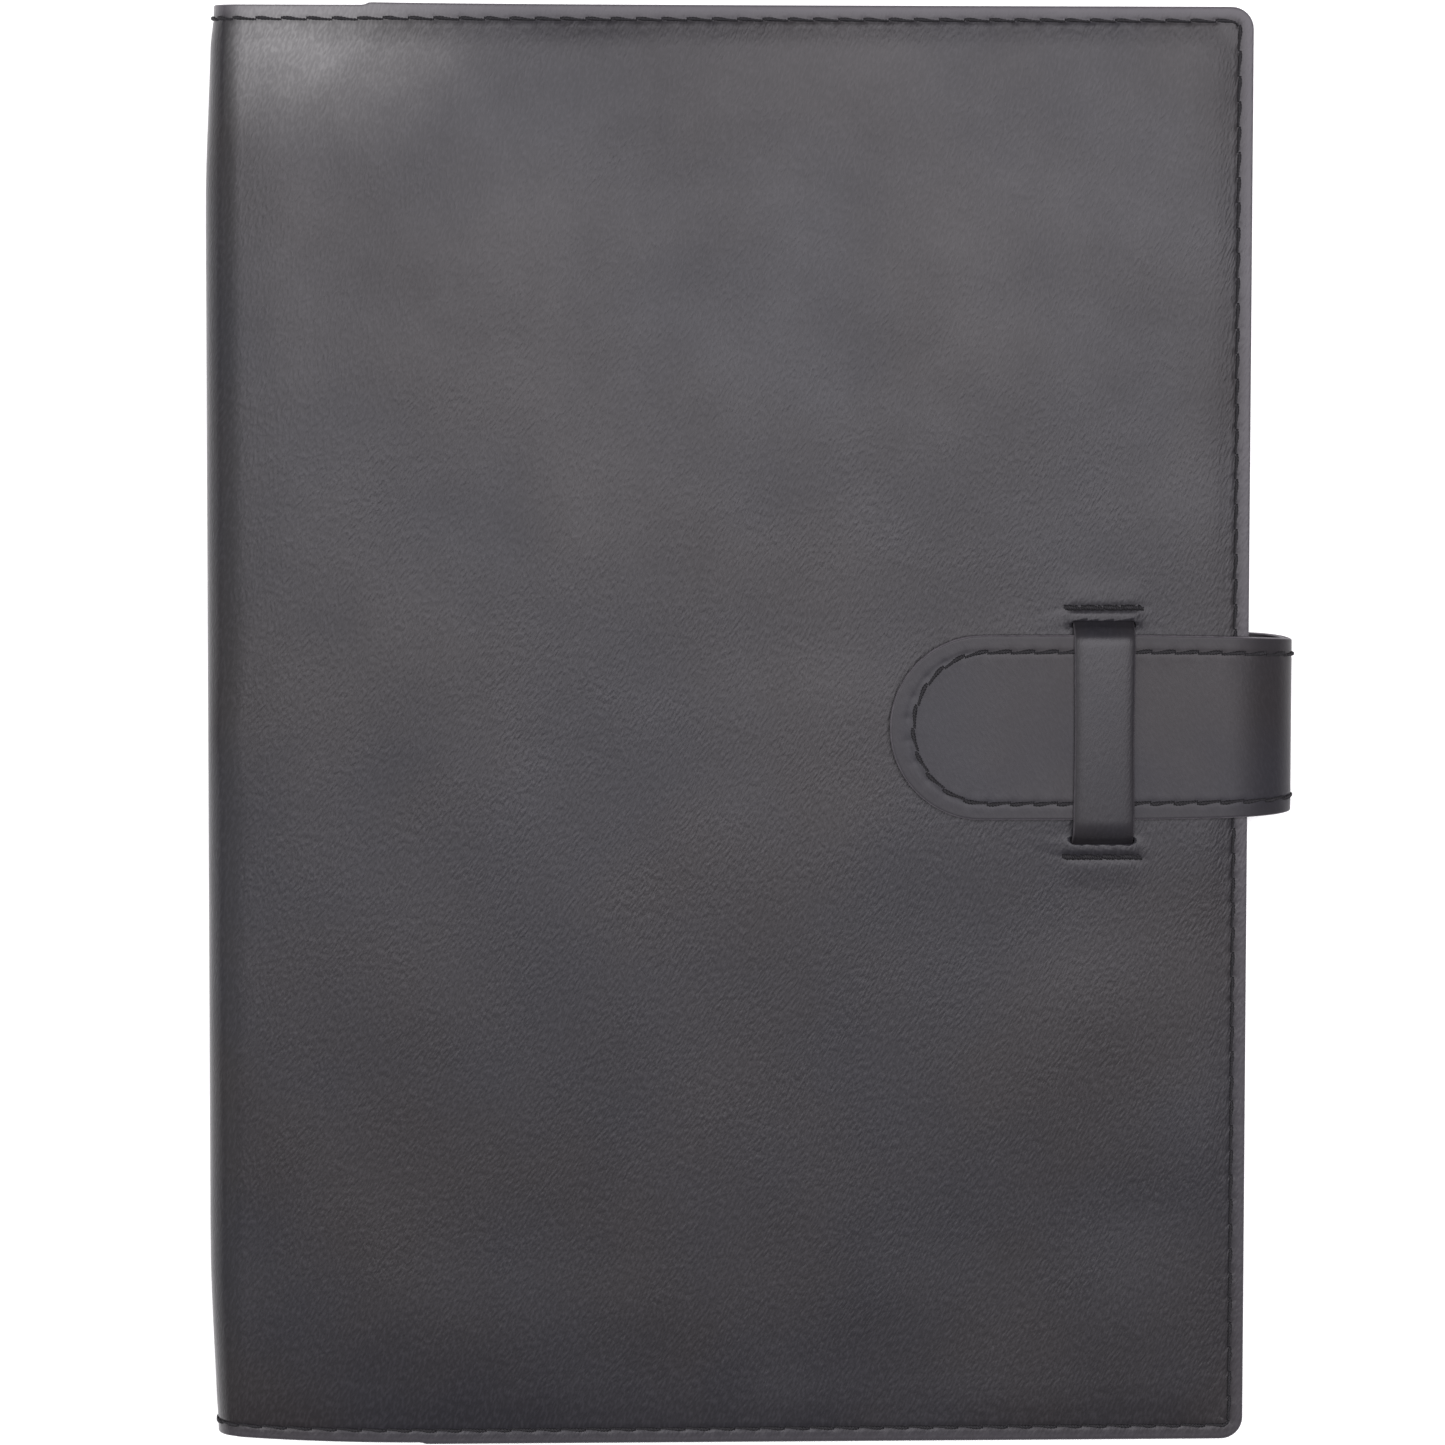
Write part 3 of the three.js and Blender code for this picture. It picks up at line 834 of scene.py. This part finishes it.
def make_seams(side, front):
    """The panel's stitches, on its face and on its inner side."""
    def outer_depth(s, y, a):
        return skin_top(front)(s, y, SEAM_INSET, a) - 0.04

    ends = [] if front else ["spine_stitching_head", "spine_stitching_tail"]
    seams = []
    for face, depth, turned in (("outer", outer_depth, 1), ("inner", inner_seam_depth(front), -1)):
        name = f"{side}_seam_{face}"
        seam = stitches(name, SEAM, SEAM_HOLES, depth, PANEL, cover_place(front), side=turned)
        seams.append(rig.replaces(seam, side + "_cover_stitching", *ends))
    return seams


def make_panel(side, front):
    """One panel with its half of the spine, its pocket and its half of the refill's card."""
    leather = make_skin(side, front)
    lining = make_lining(side, front)
    pocket = make_pocket(side, front)
    card = make_card(side, front)
    seams = make_seams(side, front)
    for piece in (leather, lining, card, *seams):
        bend_round_spine(piece, front)
    return {
        "leather": [leather], "pocket": [pocket], "lining": [lining], "card": [card], "thread": seams,
    }


# ---- the strap

def strap_waist(s):
    """How much narrower each side of the strap is, where it is pulled round the bend."""
    return STRAP_WAIST * np.clip(1 - s / STRAP_WAIST_REACH, 0, 1) ** 3


def strap_place(upper):
    """Places the strap's points. Its root half is its tongue half turned over."""
    def place(x, y, z, s, inset):
        narrowed = y * (1 - strap_waist(s) / STRAP_HALF)
        return np.stack([x, STRAP_Y + narrowed, z if upper else 2 * STRAP_Z - z], -1)
    return place


def strap_surface(base, holes, grooved):
    """One side of a strap layer. Only the sides that show are grooved, and the glued ones are flat."""
    def depth(s, y, inset, a):
        return base + grooved * seam_dip(inset - STRAP_SEAM_INSET, a, holes, 0.03, 0.07)
    return depth


def flat_depth(value):
    """The depth of a seam that lies at one depth all along."""
    return lambda s, y, a: value + 0 * s


def tongue_route():
    """The strap's seam, from one side of the bend round the tip to the other side."""
    half = STRAP_HALF - STRAP_SEAM_INSET
    centre = STRAP_LENGTH - STRAP_HALF - STRAP_TIP_SEAM
    tip = [(centre + x, y) for x, y in arc((0, 0), (half, half), 90, -90, 60)]
    return Route([(0, half), *tip, (0, -half)])


def root_route(sign, length):
    """The seam along one side of the root's half of the bend."""
    half = sign * (STRAP_HALF - STRAP_SEAM_INSET)
    return Route([(0, half), (length, half)])


def bend_round_fore_edge(piece, upper):
    """Blends a piece of the strap from the bend's body to the tongue's, or to the back panel's."""
    sign = 1 if upper else -1
    near = ((STRAP_BEND_X + STRAP_R) * MM, 0, (STRAP_Z + sign * BEND_FREE) * MM)
    far = (STRAP_BEND_X * MM, 0, (STRAP_Z + sign * STRAP_R) * MM)
    if upper:
        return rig.blend(piece, "strap_bend", "strap_tongue", near, far)
    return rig.blend(piece, "back_cover", "strap_bend", far, near)


def make_strap():
    """The strap: two leathers glued and sewn together, drawn as two halves that meet in its bend."""
    leathers, linings, threads = [], [], []
    route = tongue_route()
    holes = route.holes(STRAP_STITCH)
    root_length = ROOT_ARC + STRAP_BEND_X - STRAP_ROOT_X
    shown_length = ROOT_ARC + STRAP_BEND_X - FORE_X - 0.1
    rings = (0.5, 0.8, 1.3, 1.8, 2.1, 2.35, 2.6, 2.85, 3.1, 3.4, 3.9, 5, 7, 10, STRAP_HALF)
    layers = (
        ("leather", 0.0, STRAP_LAYER, leathers),
        ("lining", STRAP_THICK - STRAP_LAYER, STRAP_THICK, linings),
    )
    for upper in (True, False):
        half = "tongue" if upper else "root"
        for layer, low, high, found in layers:
            outermost = layer == "leather"
            if upper:
                outline = Outline(STRAP_LENGTH, STRAP_HALF, STRAP_HALF, 0.5)
            else:
                outline = Outline(root_length if outermost else shown_length, STRAP_HALF, 0.5, 0.5)
            grooves = (1, 0) if outermost else (0, -1)
            piece = sheet_object(
                f"strap_{half}_{layer}_sheet", outline, STRAP if upper else ROOT,
                strap_surface(low, holes, grooves[0]), strap_surface(high, holes, grooves[1]),
                rings, rings, strap_place(upper), "strap_leather", edge=0.3, side=1 if upper else -1,
            )
            found.append(piece)
            replaced = ["strap_tongue_"] if upper else ["strap_root_", "strap_bend_"]
            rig.replaces(piece, *[part + layer for part in replaced])
    faces = (("outer", 1, 0.0), ("inner", -1, STRAP_THICK))
    for face, side, depth in faces:
        shape = {"size": 1.15, "lift": 0.1} if side > 0 else {}
        thread = stitches(
            "strap_seam_" + face, route, holes, flat_depth(depth), STRAP, strap_place(True),
            side=side, **shape,
        )
        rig.replaces(thread, "strap_tongue_stitching")
        threads.append(thread)
    for sign, end in ((1, "head"), (-1, "tail")):
        for face, side, depth in faces:
            row = root_route(sign, shown_length)
            thread = stitches(
                f"strap_root_seam_{end}_{face}", row, row.holes(STRAP_STITCH), flat_depth(depth),
                ROOT, strap_place(False), side=side,
            )
            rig.replaces(thread, "strap_root_stitching_" + end, "strap_bend_stitching_" + end)
            threads.append(thread)
    for piece in leathers + linings + threads:
        bend_round_fore_edge(piece, "root" not in piece.name)
    return {"strap": leathers + linings, "thread": threads}


# ---- the loop

def loop_path(sign):
    """Half of the loop's centre line: over the strap, down through a slit and out under the leather."""
    top = LOOP_TOP_Z - LOOP_LEATHER / 2
    tab = LOOP_TAB_Z + LOOP_LEATHER / 2
    over_strap = [(0, top + 0.02), (6, top), (12, top - 0.06), (14.8, top - 0.12)]
    through_slit = [(15.8, top - 0.8), (16.4, top - 1.9), (16.9, top - 2.8), (17.5, tab + 0.3)]
    under_leather = [(18.8, tab + 0.02), (LOOP_END - 2, tab), (LOOP_END, tab)]
    knots = over_strap + through_slit + under_leather
    return [(sign * away, z) for away, z in knots]


def smoothed(points, rounds=3):
    """Cuts a line's corners again and again, so that it becomes a curve."""
    points = np.array(points, float)
    for _ in range(rounds):
        first, second = points[:-1], points[1:]
        cut = np.stack([0.75 * first + 0.25 * second, 0.25 * first + 0.75 * second], 1).reshape(-1, 2)
        points = np.concatenate([points[:1], cut, points[-1:]])
    return points


def band_section(half, thick):
    """The loop's cross-section: x and z round it, with edges rolled on a radius of LOOP_ROLL."""
    turn = np.radians(np.linspace(0, 90, 6))
    flat = np.linspace(half - LOOP_ROLL - 0.5, 0, 6)
    x = np.concatenate([half - LOOP_ROLL + LOOP_ROLL * np.cos(turn), flat])
    z = np.concatenate([thick - LOOP_ROLL + LOOP_ROLL * np.sin(turn), 0 * flat + thick])
    x = np.concatenate([x, -x[-2::-1]])
    z = np.concatenate([z, z[-2::-1]])
    return np.concatenate([x, x[-2:0:-1]]), np.concatenate([z, -z[-2:0:-1]])


def make_loop():
    """A leather band with rolled edges and a low crown, held at each end by a bartack."""
    line = smoothed(loop_path(-1)[::-1] + loop_path(1)[1:])
    line = line[np.concatenate([[True], np.hypot(*np.diff(line, axis=0).T) > 1e-4])]
    run = Route(line)
    normal = run.across(run.along, 0.2)
    half, thick = LOOP_WIDTH / 2, LOOP_LEATHER / 2
    ring_x, ring_z = band_section(half, thick)
    crown = LOOP_CROWN * (1 - (ring_x / half) ** 2 - smooth(half - 1.4, half, np.abs(ring_x)))
    waist = 1 - 0.03 * bell(run.along - run.end / 2, 9)[:, None]
    lift = ring_z + crown
    y = LOOP_Y + line[:, :1] + normal[:, :1] * lift
    height = line[:, 1:] + normal[:, 1:] * lift
    points = np.stack([LOOP_X + ring_x * waist, y, height], -1)
    rows, columns = points.shape[:2]
    faces = grid_faces(rows, columns, close_columns=True)
    flat = np.stack([panel_s(points[..., 0]), run.along[:, None] + 0 * ring_x, 0 * y], -1).reshape(-1, 3)
    inset = np.tile(half - np.abs(ring_x), rows)
    band = make_object(
        "loop_band_leather", points.reshape(-1, 3), faces, "cover_leather",
        {"flat": flat * MM, "inset": inset * MM}, end_caps(rows, columns),
    )
    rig.replaces(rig.ride(band, "front_cover"), "loop_band")
    threads = []
    for sign, end in ((1, "head"), (-1, "tail")):
        y = LOOP_Y + sign * BARTACK_Y
        row = Route([(panel_s(LOOP_X + side * BARTACK / 2), y) for side in (-1, 1)])
        for layer, count, size, lean in (("under", 4, 1.5, 0.08), ("over", 14, 1.0, 0.28)):
            thread = stitches(
                f"bartack_{end}_{layer}", row, row.holes(BARTACK / count), lip_depth, PANEL,
                straight_place, size=size, lean=lean,
            )
            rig.replaces(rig.ride(thread, "front_cover"), "loop_bartack_" + end)
            threads.append(thread)
    return {"loop": [band], "thread": threads}


def straight_place(x, y, z, s, inset):
    """Leaves points where they are."""
    return np.stack([x, y, z], -1)


# ---- the refill

LEAF = 0.09
LEAF_GAP = 0.035
LEAVES = 4
UNEVEN_FORE, UNEVEN_HEAD = 0.25, 0.2  # how unevenly the leaves are cut
TAPE_DIP = 0.06


def leaf_outline(middle_z, half, fore_x):
    """The section of one folded leaf: two flat sides that meet in a round fold at the spine."""
    fold_x = PAGE_SPINE_X + SECTION / 2
    outer = arc((fold_x, middle_z), (half, half), 270, 90, 9)
    inner = arc((fold_x, middle_z), (half - LEAF, half - LEAF), 90, 270, 9)
    top, bottom = middle_z + half, middle_z - half
    return [
        (fore_x, bottom), *outer, (fore_x, top), (fore_x, top - LEAF), *inner, (fore_x, bottom + LEAF),
    ]


def make_section(number):
    """One sewn section of the refill: folded leaves, one inside another, cut a little unevenly."""
    low, high = span(f"refill_section_{number}")
    rng = np.random.default_rng(100 + number)
    middle = (low[2] + high[2]) / 2
    points, faces = [], []
    for leaf in range(LEAVES):
        half = SECTION / 2 - leaf * (LEAF + LEAF_GAP)
        rim = leaf_outline(middle, half, PAGE_X - rng.uniform(0, UNEVEN_FORE))
        head = PAGE_HALF - rng.uniform(0, UNEVEN_HEAD)
        first, count = len(points), len(rim)
        points += [(x, y, z) for y in (-head, head) for x, z in rim]
        faces += grid_faces(2, count, close_columns=True, first=first) + end_caps(2, count, first)
    made = make_object(f"refill_leaves_{number}", points, faces, "paper")
    for face in made.data.polygons:
        face.use_smooth = False
    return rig.replaces(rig.ride(made, "back_cover"), f"refill_section_{number}")


def make_tape():
    """The cloth tape glued over the folds of the sections. It dips a little between them."""
    low, high = span("refill_spine_tape")
    z = np.linspace(low[2], high[2], 61)
    y = np.linspace(low[1], high[1], 90)
    dip = TAPE_DIP * np.cos(2 * math.pi * (z - low[2]) / PITCH)
    outer = np.stack(np.broadcast_arrays(low[0] + TAPE_DIP - dip[None], y[:, None], z[None]), -1)
    inner = np.stack(np.broadcast_arrays(high[0] + 0 * dip[None], y[:, None], z[None]), -1)
    ring = np.concatenate([outer, inner[:, ::-1]], 1)
    rows, columns = ring.shape[:2]
    faces = grid_faces(rows, columns, close_columns=True)
    made = make_object(
        "refill_tape_cloth", ring.reshape(-1, 3), faces, "book_tape", caps=end_caps(rows, columns)
    )
    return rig.replaces(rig.ride(made, "back_cover"), "refill_spine_tape")


# ---- materials, in metres

def add(tree, kind, inputs=None, **settings):
    """A shader node with its settings. An input takes a value, or another node's output."""
    node = tree.nodes.new("ShaderNode" + kind)
    for key, value in settings.items():
        setattr(node, key, value)
    for key, value in (inputs or {}).items():
        socket = node.inputs[key]
        if isinstance(value, bpy.types.NodeSocket):
            tree.links.new(value, socket)
        else:
            socket.default_value = value
    return node


def math_node(tree, operation, a, b=0.0, c=0.0):
    return add(tree, "Math", {0: a, 1: b, 2: c}, operation=operation).outputs[0]


def ramp(tree, value, low, high, to_low=0.0, to_high=1.0):
    """value from low..high mapped to to_low..to_high, and held at its ends."""
    inputs = {"Value": value, "From Min": low, "From Max": high, "To Min": to_low, "To Max": to_high}
    return add(tree, "MapRange", inputs, clamp=True).outputs["Result"]


def mix(tree, share, a, b):
    """The colour between a and b."""
    return add(tree, "Mix", {0: share, 6: a, 7: b}, data_type="RGBA").outputs[2]


def grey(value, warm=0.0):
    """A near-neutral colour: warm above 0 leans to brown, and below 0 to blue."""
    return (value * (1 + warm), value, value * (1 - 1.3 * warm), 1)


def ink(value, warm=0.0):
    """The leather's own grey, which leans a little to violet."""
    return (value * (1.05 + warm), value, value * (1.15 - 1.5 * warm), 1)


def new_material(name, constants):
    """A material, its node tree and its shader, with constants set on the shader's own sockets."""
    material = bpy.data.materials.new(name)
    material.use_nodes = True
    shader = material.node_tree.nodes["Principled BSDF"]
    for key, value in constants.items():
        shader.inputs[key].default_value = value
    return material, material.node_tree, shader


def vector_node(tree, operation, a, b=(0, 0, 0), c=(0, 0, 0)):
    return add(tree, "VectorMath", {0: a, 1: b, 2: c}, operation=operation).outputs[0]


def position(tree):
    """The place in space of a point on the surface, for materials with no flat coordinates."""
    return add(tree, "NewGeometry").outputs["Position"]


def finish_shader(tree, shader, tint, height, strength, distance):
    """Gives a shader its colour, and a relief of a height that is at most a distance deep."""
    tree.links.new(tint, shader.inputs["Base Color"])
    inputs = {"Strength": strength, "Distance": distance, "Height": height}
    tree.links.new(add(tree, "Bump", inputs).outputs[0], shader.inputs["Normal"])


def noise(tree, place, scale, detail=3.0, roughness=0.5, distortion=0.0):
    inputs = {"Vector": place, "Scale": scale, "Detail": detail, "Roughness": roughness}
    return add(tree, "TexNoise", {**inputs, "Distortion": distortion}).outputs["Fac"]


CREASE_LEAN = -72  # degrees
CREASE_STRETCH = 0.4


def leather_grain(tree, place):
    """The height of fine creases that wander and lean one way, between small pebbles."""
    bent = place
    for scale, reach in (35, 0.0035), (420, 0.0003):
        push = add(tree, "TexNoise", {"Vector": place, "Scale": scale, "Detail": 2}).outputs["Color"]
        bent = vector_node(tree, "MULTIPLY_ADD", push, (reach, reach, 0), bent)
    turn = {"Vector": bent, "Angle": math.radians(CREASE_LEAN)}
    leaning = add(tree, "VectorRotate", turn, rotation_type="Z_AXIS").outputs[0]
    stretched = vector_node(tree, "MULTIPLY", leaning, (CREASE_STRETCH, 1, 1))
    creases = noise(tree, stretched, 2600, 1, 0.4)
    inputs = {"Vector": stretched, "Scale": 2000, "Randomness": 0.9, "Smoothness": 0.4}
    pebbles = add(tree, "TexVoronoi", inputs, feature="SMOOTH_F1").outputs["Distance"]
    return math_node(tree, "MULTIPLY_ADD", pebbles, -0.25, creases)


def leather_clouds(tree, place, tone, mottle):
    """The leather's colour: cloudy and blotched, leaning here to brown and there to blue."""
    hue = ramp(tree, noise(tree, place, 24, 3), 0.4, 0.6)
    dark = mix(tree, hue, ink(tone * 0.93, 0.05), ink(tone * 0.93, -0.03))
    light = mix(tree, hue, ink(tone * 1.08, 0.06), ink(tone * 1.08, -0.02))
    clouds = noise(tree, place, 17, 4, 0.5, 0.3)
    tint = mix(tree, ramp(tree, clouds, 0.5 - 0.2 / mottle, 0.5 + 0.2 / mottle), dark, light)
    blotches = ramp(tree, noise(tree, place, 70, 4, 0.6), 0.4, 0.75, 0, 0.25 * mottle)
    return mix(tree, blotches, tint, ink(tone * 1.25, 0.04))


def leather_material(
    name, tone=0.0225, grain=1.0, rough=0.31, edge_tone=0.1, hem=3.5, mottle=1.0, worn=False
):
    """Smooth waxed leather: fine creases, cloudy colour, paler cut edges, and painted light: painted shade in the
    creases, painted highlights on the grain, on the hem and, where asked, at the spine's head.
    """
    material, tree, shader = new_material(name, {"Specular IOR Level": 0.18})
    place = add(tree, "Attribute", attribute_name="flat").outputs["Vector"]
    relief = leather_grain(tree, place)
    patches = ramp(tree, noise(tree, place, 110, 3, 0.55), 0.35, 0.65, 0.7, 1)
    height = math_node(tree, "MULTIPLY", relief, patches)

    tint = leather_clouds(tree, place, tone, mottle)
    # painted shade in the grain's hollows, and painted highlights on its ridges
    tint = mix(tree, ramp(tree, relief, 0.28, 0.48, 0.28 * grain, 0), tint, ink(tone * 0.35))
    tint = mix(tree, ramp(tree, relief, 0.4, 0.6, 0, 0.2 * grain), tint, ink(tone * 2))
    inset = add(tree, "Attribute", attribute_name="inset").outputs["Fac"]
    # painted highlight on the hem, strongest out to 0.7 mm from the edge and gone by 2.5 mm, and brighter towards the
    # head, where the light comes from
    lit_towards_head = ramp(tree, add(tree, "SeparateXYZ", {0: place}).outputs["Y"], -0.09, 0.11, 0.45, 1)
    painted_hem_highlight = math_node(tree, "MULTIPLY", ramp(tree, inset, 0.0007, 0.0025, 0.85, 0), lit_towards_head)
    tint = mix(tree, painted_hem_highlight, tint, ink(tone * hem, 0.02))
    # painted highlight: a pale patch at the spine's head, stronger on the grain's ridges, painted in place of the
    # light's sheen there
    if worn:
        raised = ramp(tree, relief, 0.3, 0.5, 0.75, 1)
        painted_sheen_share = math_node(tree, "MULTIPLY", painted_corner_sheen(tree, place), raised)
        tint = mix(tree, painted_sheen_share, tint, grey(SHEEN_PATCH_TONE, 0.01))
    # the cut edges are tinted paler, unevenly
    uneven = ramp(tree, noise(tree, place, 700, 3), 0.3, 0.6, 0.55, 1)
    pale_cut_edge = math_node(tree, "MULTIPLY", ramp(tree, inset, 0.00003, 0.00025, 0.9, 0), uneven)
    tint = mix(tree, pale_cut_edge, tint, ink(edge_tone, 0.03))

    wear = noise(tree, place, 45, 5, 0.6)
    gloss = ramp(tree, wear, 0.3, 0.7, rough - 0.03, rough + 0.05)
    tree.links.new(gloss, shader.inputs["Roughness"])
    finish_shader(tree, shader, tint, height, 0.52 * grain, 0.00009)
    return material


def painted_corner_sheen(tree, place):
    """The share of the painted highlight round the spine's head: a pale patch that stands in for the sheen of the
    light there.
    """
    centre = (panel_s(SHEEN_PATCH_X) * MM, (HALF_HEIGHT - 4) * MM, 0)
    away = vector_node(tree, "SUBTRACT", place, centre)
    shaped = vector_node(tree, "MULTIPLY", away, (0.62, 1, 0))
    distance = add(tree, "VectorMath", {0: shaped}, operation="LENGTH").outputs["Value"]
    ragged = math_node(tree, "MULTIPLY_ADD", noise(tree, place, 130, 4, 0.6), 0.008, distance)
    near = ramp(tree, ragged, 0.002, 0.028, 1, 0)
    front = ramp(tree, add(tree, "SeparateXYZ", {0: place}).outputs["X"], 0.006, 0.0095)
    return math_node(tree, "MULTIPLY", math_node(tree, "MULTIPLY", near, near), front)


def thread_material():
    """Waxed black thread with fine fibres."""
    constants = {"Roughness": 0.65, "Specular IOR Level": 0.3}
    material, tree, shader = new_material("thread_twist", constants)
    fibres = noise(tree, position(tree), 5000, 3)
    tint = mix(tree, ramp(tree, fibres, 0.35, 0.7), ink(0.007), ink(0.026))
    finish_shader(tree, shader, tint, fibres, 0.5, 0.00004)
    return material


def weave_material(name, tone, threads, warm=0.0):
    """A plain weave of warp and weft, with slubs and a soft sheen."""
    material, tree, shader = new_material(name, {"Roughness": 0.8, "Sheen Weight": 0.2})
    place = position(tree)
    slubs = noise(tree, place, 300, 3)
    parts = add(tree, "SeparateXYZ", {0: place})
    waves = []
    for axis in ("X", "Y"):
        run = math_node(tree, "MULTIPLY", parts.outputs[axis], threads)
        waves.append(math_node(tree, "SINE", run))
    over = math_node(tree, "MULTIPLY", *waves)
    height = math_node(tree, "MULTIPLY_ADD", over, 0.5, slubs)
    tint = mix(tree, ramp(tree, height, 0, 1.2), grey(tone * 0.6, warm), grey(tone * 1.3, warm))
    finish_shader(tree, shader, tint, height, 0.5, 0.0001)
    return material


def fibre_material(name, tone, warm, fleck):
    """Paper, card or board: felted fibres with darker flecks."""
    material, tree, shader = new_material(name, {"Roughness": 0.85})
    place = position(tree)
    felt = noise(tree, place, 900, 4, 0.7)
    flecks = noise(tree, place, 3500, 2, 0.5, 1.0)
    tint = mix(tree, ramp(tree, felt, 0.3, 0.7), grey(tone * 0.93, warm), grey(tone * 1.03, warm))
    tint = mix(tree, ramp(tree, flecks, 0.68, 0.75, 0, fleck), tint, grey(tone * 0.5, warm))
    finish_shader(tree, shader, tint, felt, 0.3, 0.00005)
    return material


def floor_material():
    """A white floor, faintly lit from within so that its far parts stay white."""
    constants = {"Roughness": 0.9, "Emission Color": (1, 1, 1, 1), "Emission Strength": 0.5}
    material, tree, shader = new_material("studio_floor", constants)
    tint = mix(tree, noise(tree, position(tree), 6, 2), grey(0.9), grey(0.95))
    tree.links.new(tint, shader.inputs["Base Color"])
    return material


# ---- camera, light and floor

# fitted to the edges of the cover in the photo, in millimetres and radians
CAMERA_PLACE = Vector((-47.55, 83.61, 1010.63))
CAMERA_AIM = Vector((-1.10, 1.21, 12.0))
CAMERA_ROLL = 0.00185
CAMERA_LENS = 162.39
SENSOR = 36.0
FLOOR_GAP = 0.02


def make_camera():
    data = bpy.data.cameras.new("camera")
    data.lens = CAMERA_LENS
    data.sensor_width = SENSOR
    data.clip_start, data.clip_end = 0.01, 20
    forward = (CAMERA_AIM - CAMERA_PLACE).normalized()
    right = forward.cross(Vector((0, 1, 0))).normalized()
    up = right.cross(forward)
    rolled_right = math.cos(CAMERA_ROLL) * right + math.sin(CAMERA_ROLL) * up
    rolled_up = math.cos(CAMERA_ROLL) * up - math.sin(CAMERA_ROLL) * right
    turned = Matrix((rolled_right, rolled_up, -forward)).transposed()
    camera = add_object("camera", data)
    camera.matrix_world = Matrix.Translation(CAMERA_PLACE * MM) @ turned.to_4x4()
    bpy.context.scene.camera = camera


def area_light(name, place, aim, size, power, colour=(1, 1, 1)):
    """A rectangular light, in metres and watts."""
    data = bpy.data.lights.new(name, "AREA")
    data.shape = "RECTANGLE"
    data.size, data.size_y = size
    data.energy = power
    data.color = colour
    light = add_object(name, data)
    light.location = place
    light.rotation_euler = (Vector(aim) - Vector(place)).to_track_quat("-Z", "Y").to_euler()


def make_studio(floor_z):
    """A white, faintly lit floor under a large soft light, with two weaker lights at its left."""
    reach = 3.0
    mesh = bpy.data.meshes.new("floor")
    corners = [(-reach, -reach), (reach, -reach), (reach, reach), (-reach, reach)]
    mesh.from_pydata([(x, y, floor_z) for x, y in corners], [], [(0, 1, 2, 3)])
    mesh.materials.append(floor_material())
    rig.stage(add_object("floor", mesh))
    area_light("key", (0.2, 0.18, 1.4), (0.2, 0.18, 0), (1.1, 0.6), 19.8, (1.0, 0.965, 1.02))
    area_light("spill", (-0.6, 0.18, 1.4), (-0.6, 0.18, 0), (0.5, 0.6), 3.0)
    area_light("fill", (-1.0, 0.1, 0.8), (0, 0, 0), (0.9, 1.2), 5.5)
    world = bpy.data.worlds.new("surround")
    world.use_nodes = True
    background = world.node_tree.nodes["Background"]
    background.inputs["Color"].default_value = (1, 1, 1, 1)
    background.inputs["Strength"].default_value = 0.16
    bpy.context.scene.world = world
    bpy.context.scene.view_settings.view_transform = "Standard"


# ---- assembly

def dress(objects, material):
    """Gives a material to each object."""
    for made in objects:
        made.data.materials.clear()
        made.data.materials.append(material)


make_camera()

made_groups = [make_panel("front", True), make_panel("back", False), make_strap(), make_loop()]


def group(key):
    """Every piece that shares a material."""
    return [piece for found in made_groups for piece in found.get(key, [])]


dress(group("leather"), leather_material("waxed_leather", worn=True))
dress(group("loop"), leather_material("loop_leather", tone=0.023, grain=0.5, hem=1.0))
dress(group("strap"), leather_material(
    "strap_leather_smooth", tone=0.028, grain=0.4, rough=0.4, edge_tone=0.15, hem=1.0, mottle=0.7,
))
dress(group("pocket"), leather_material("pocket_leather_matt", tone=0.03, grain=0.8, rough=0.55))
dress(group("thread"), thread_material())
dress(group("lining"), weave_material("lining_weave", 0.03, 9000))
dress(group("card"), fibre_material("refill_card_stock", 0.03, 0.0, 0.4))
dress([make_section(number) for number in range(1, 6)], fibre_material("page_paper", 0.55, 0.03, 0.05))
dress([make_tape()], weave_material("book_tape_weave", 0.35, 12000, 0.02))
grey_board = fibre_material("grey_board", 0.25, 0.05, 0.5)
dress([frame["nodes"][side + "_cover_board"] for side in ("front", "back")], grey_board)

make_studio(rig.bounds()[0][2] - FLOOR_GAP * MM)

visual_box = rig.bounds()
sizes = {"cad": [list(corner) for corner in cad_box], "visual": [list(corner) for corner in visual_box]}
with open("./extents.json", "w") as out:
    json.dump(sizes, out)
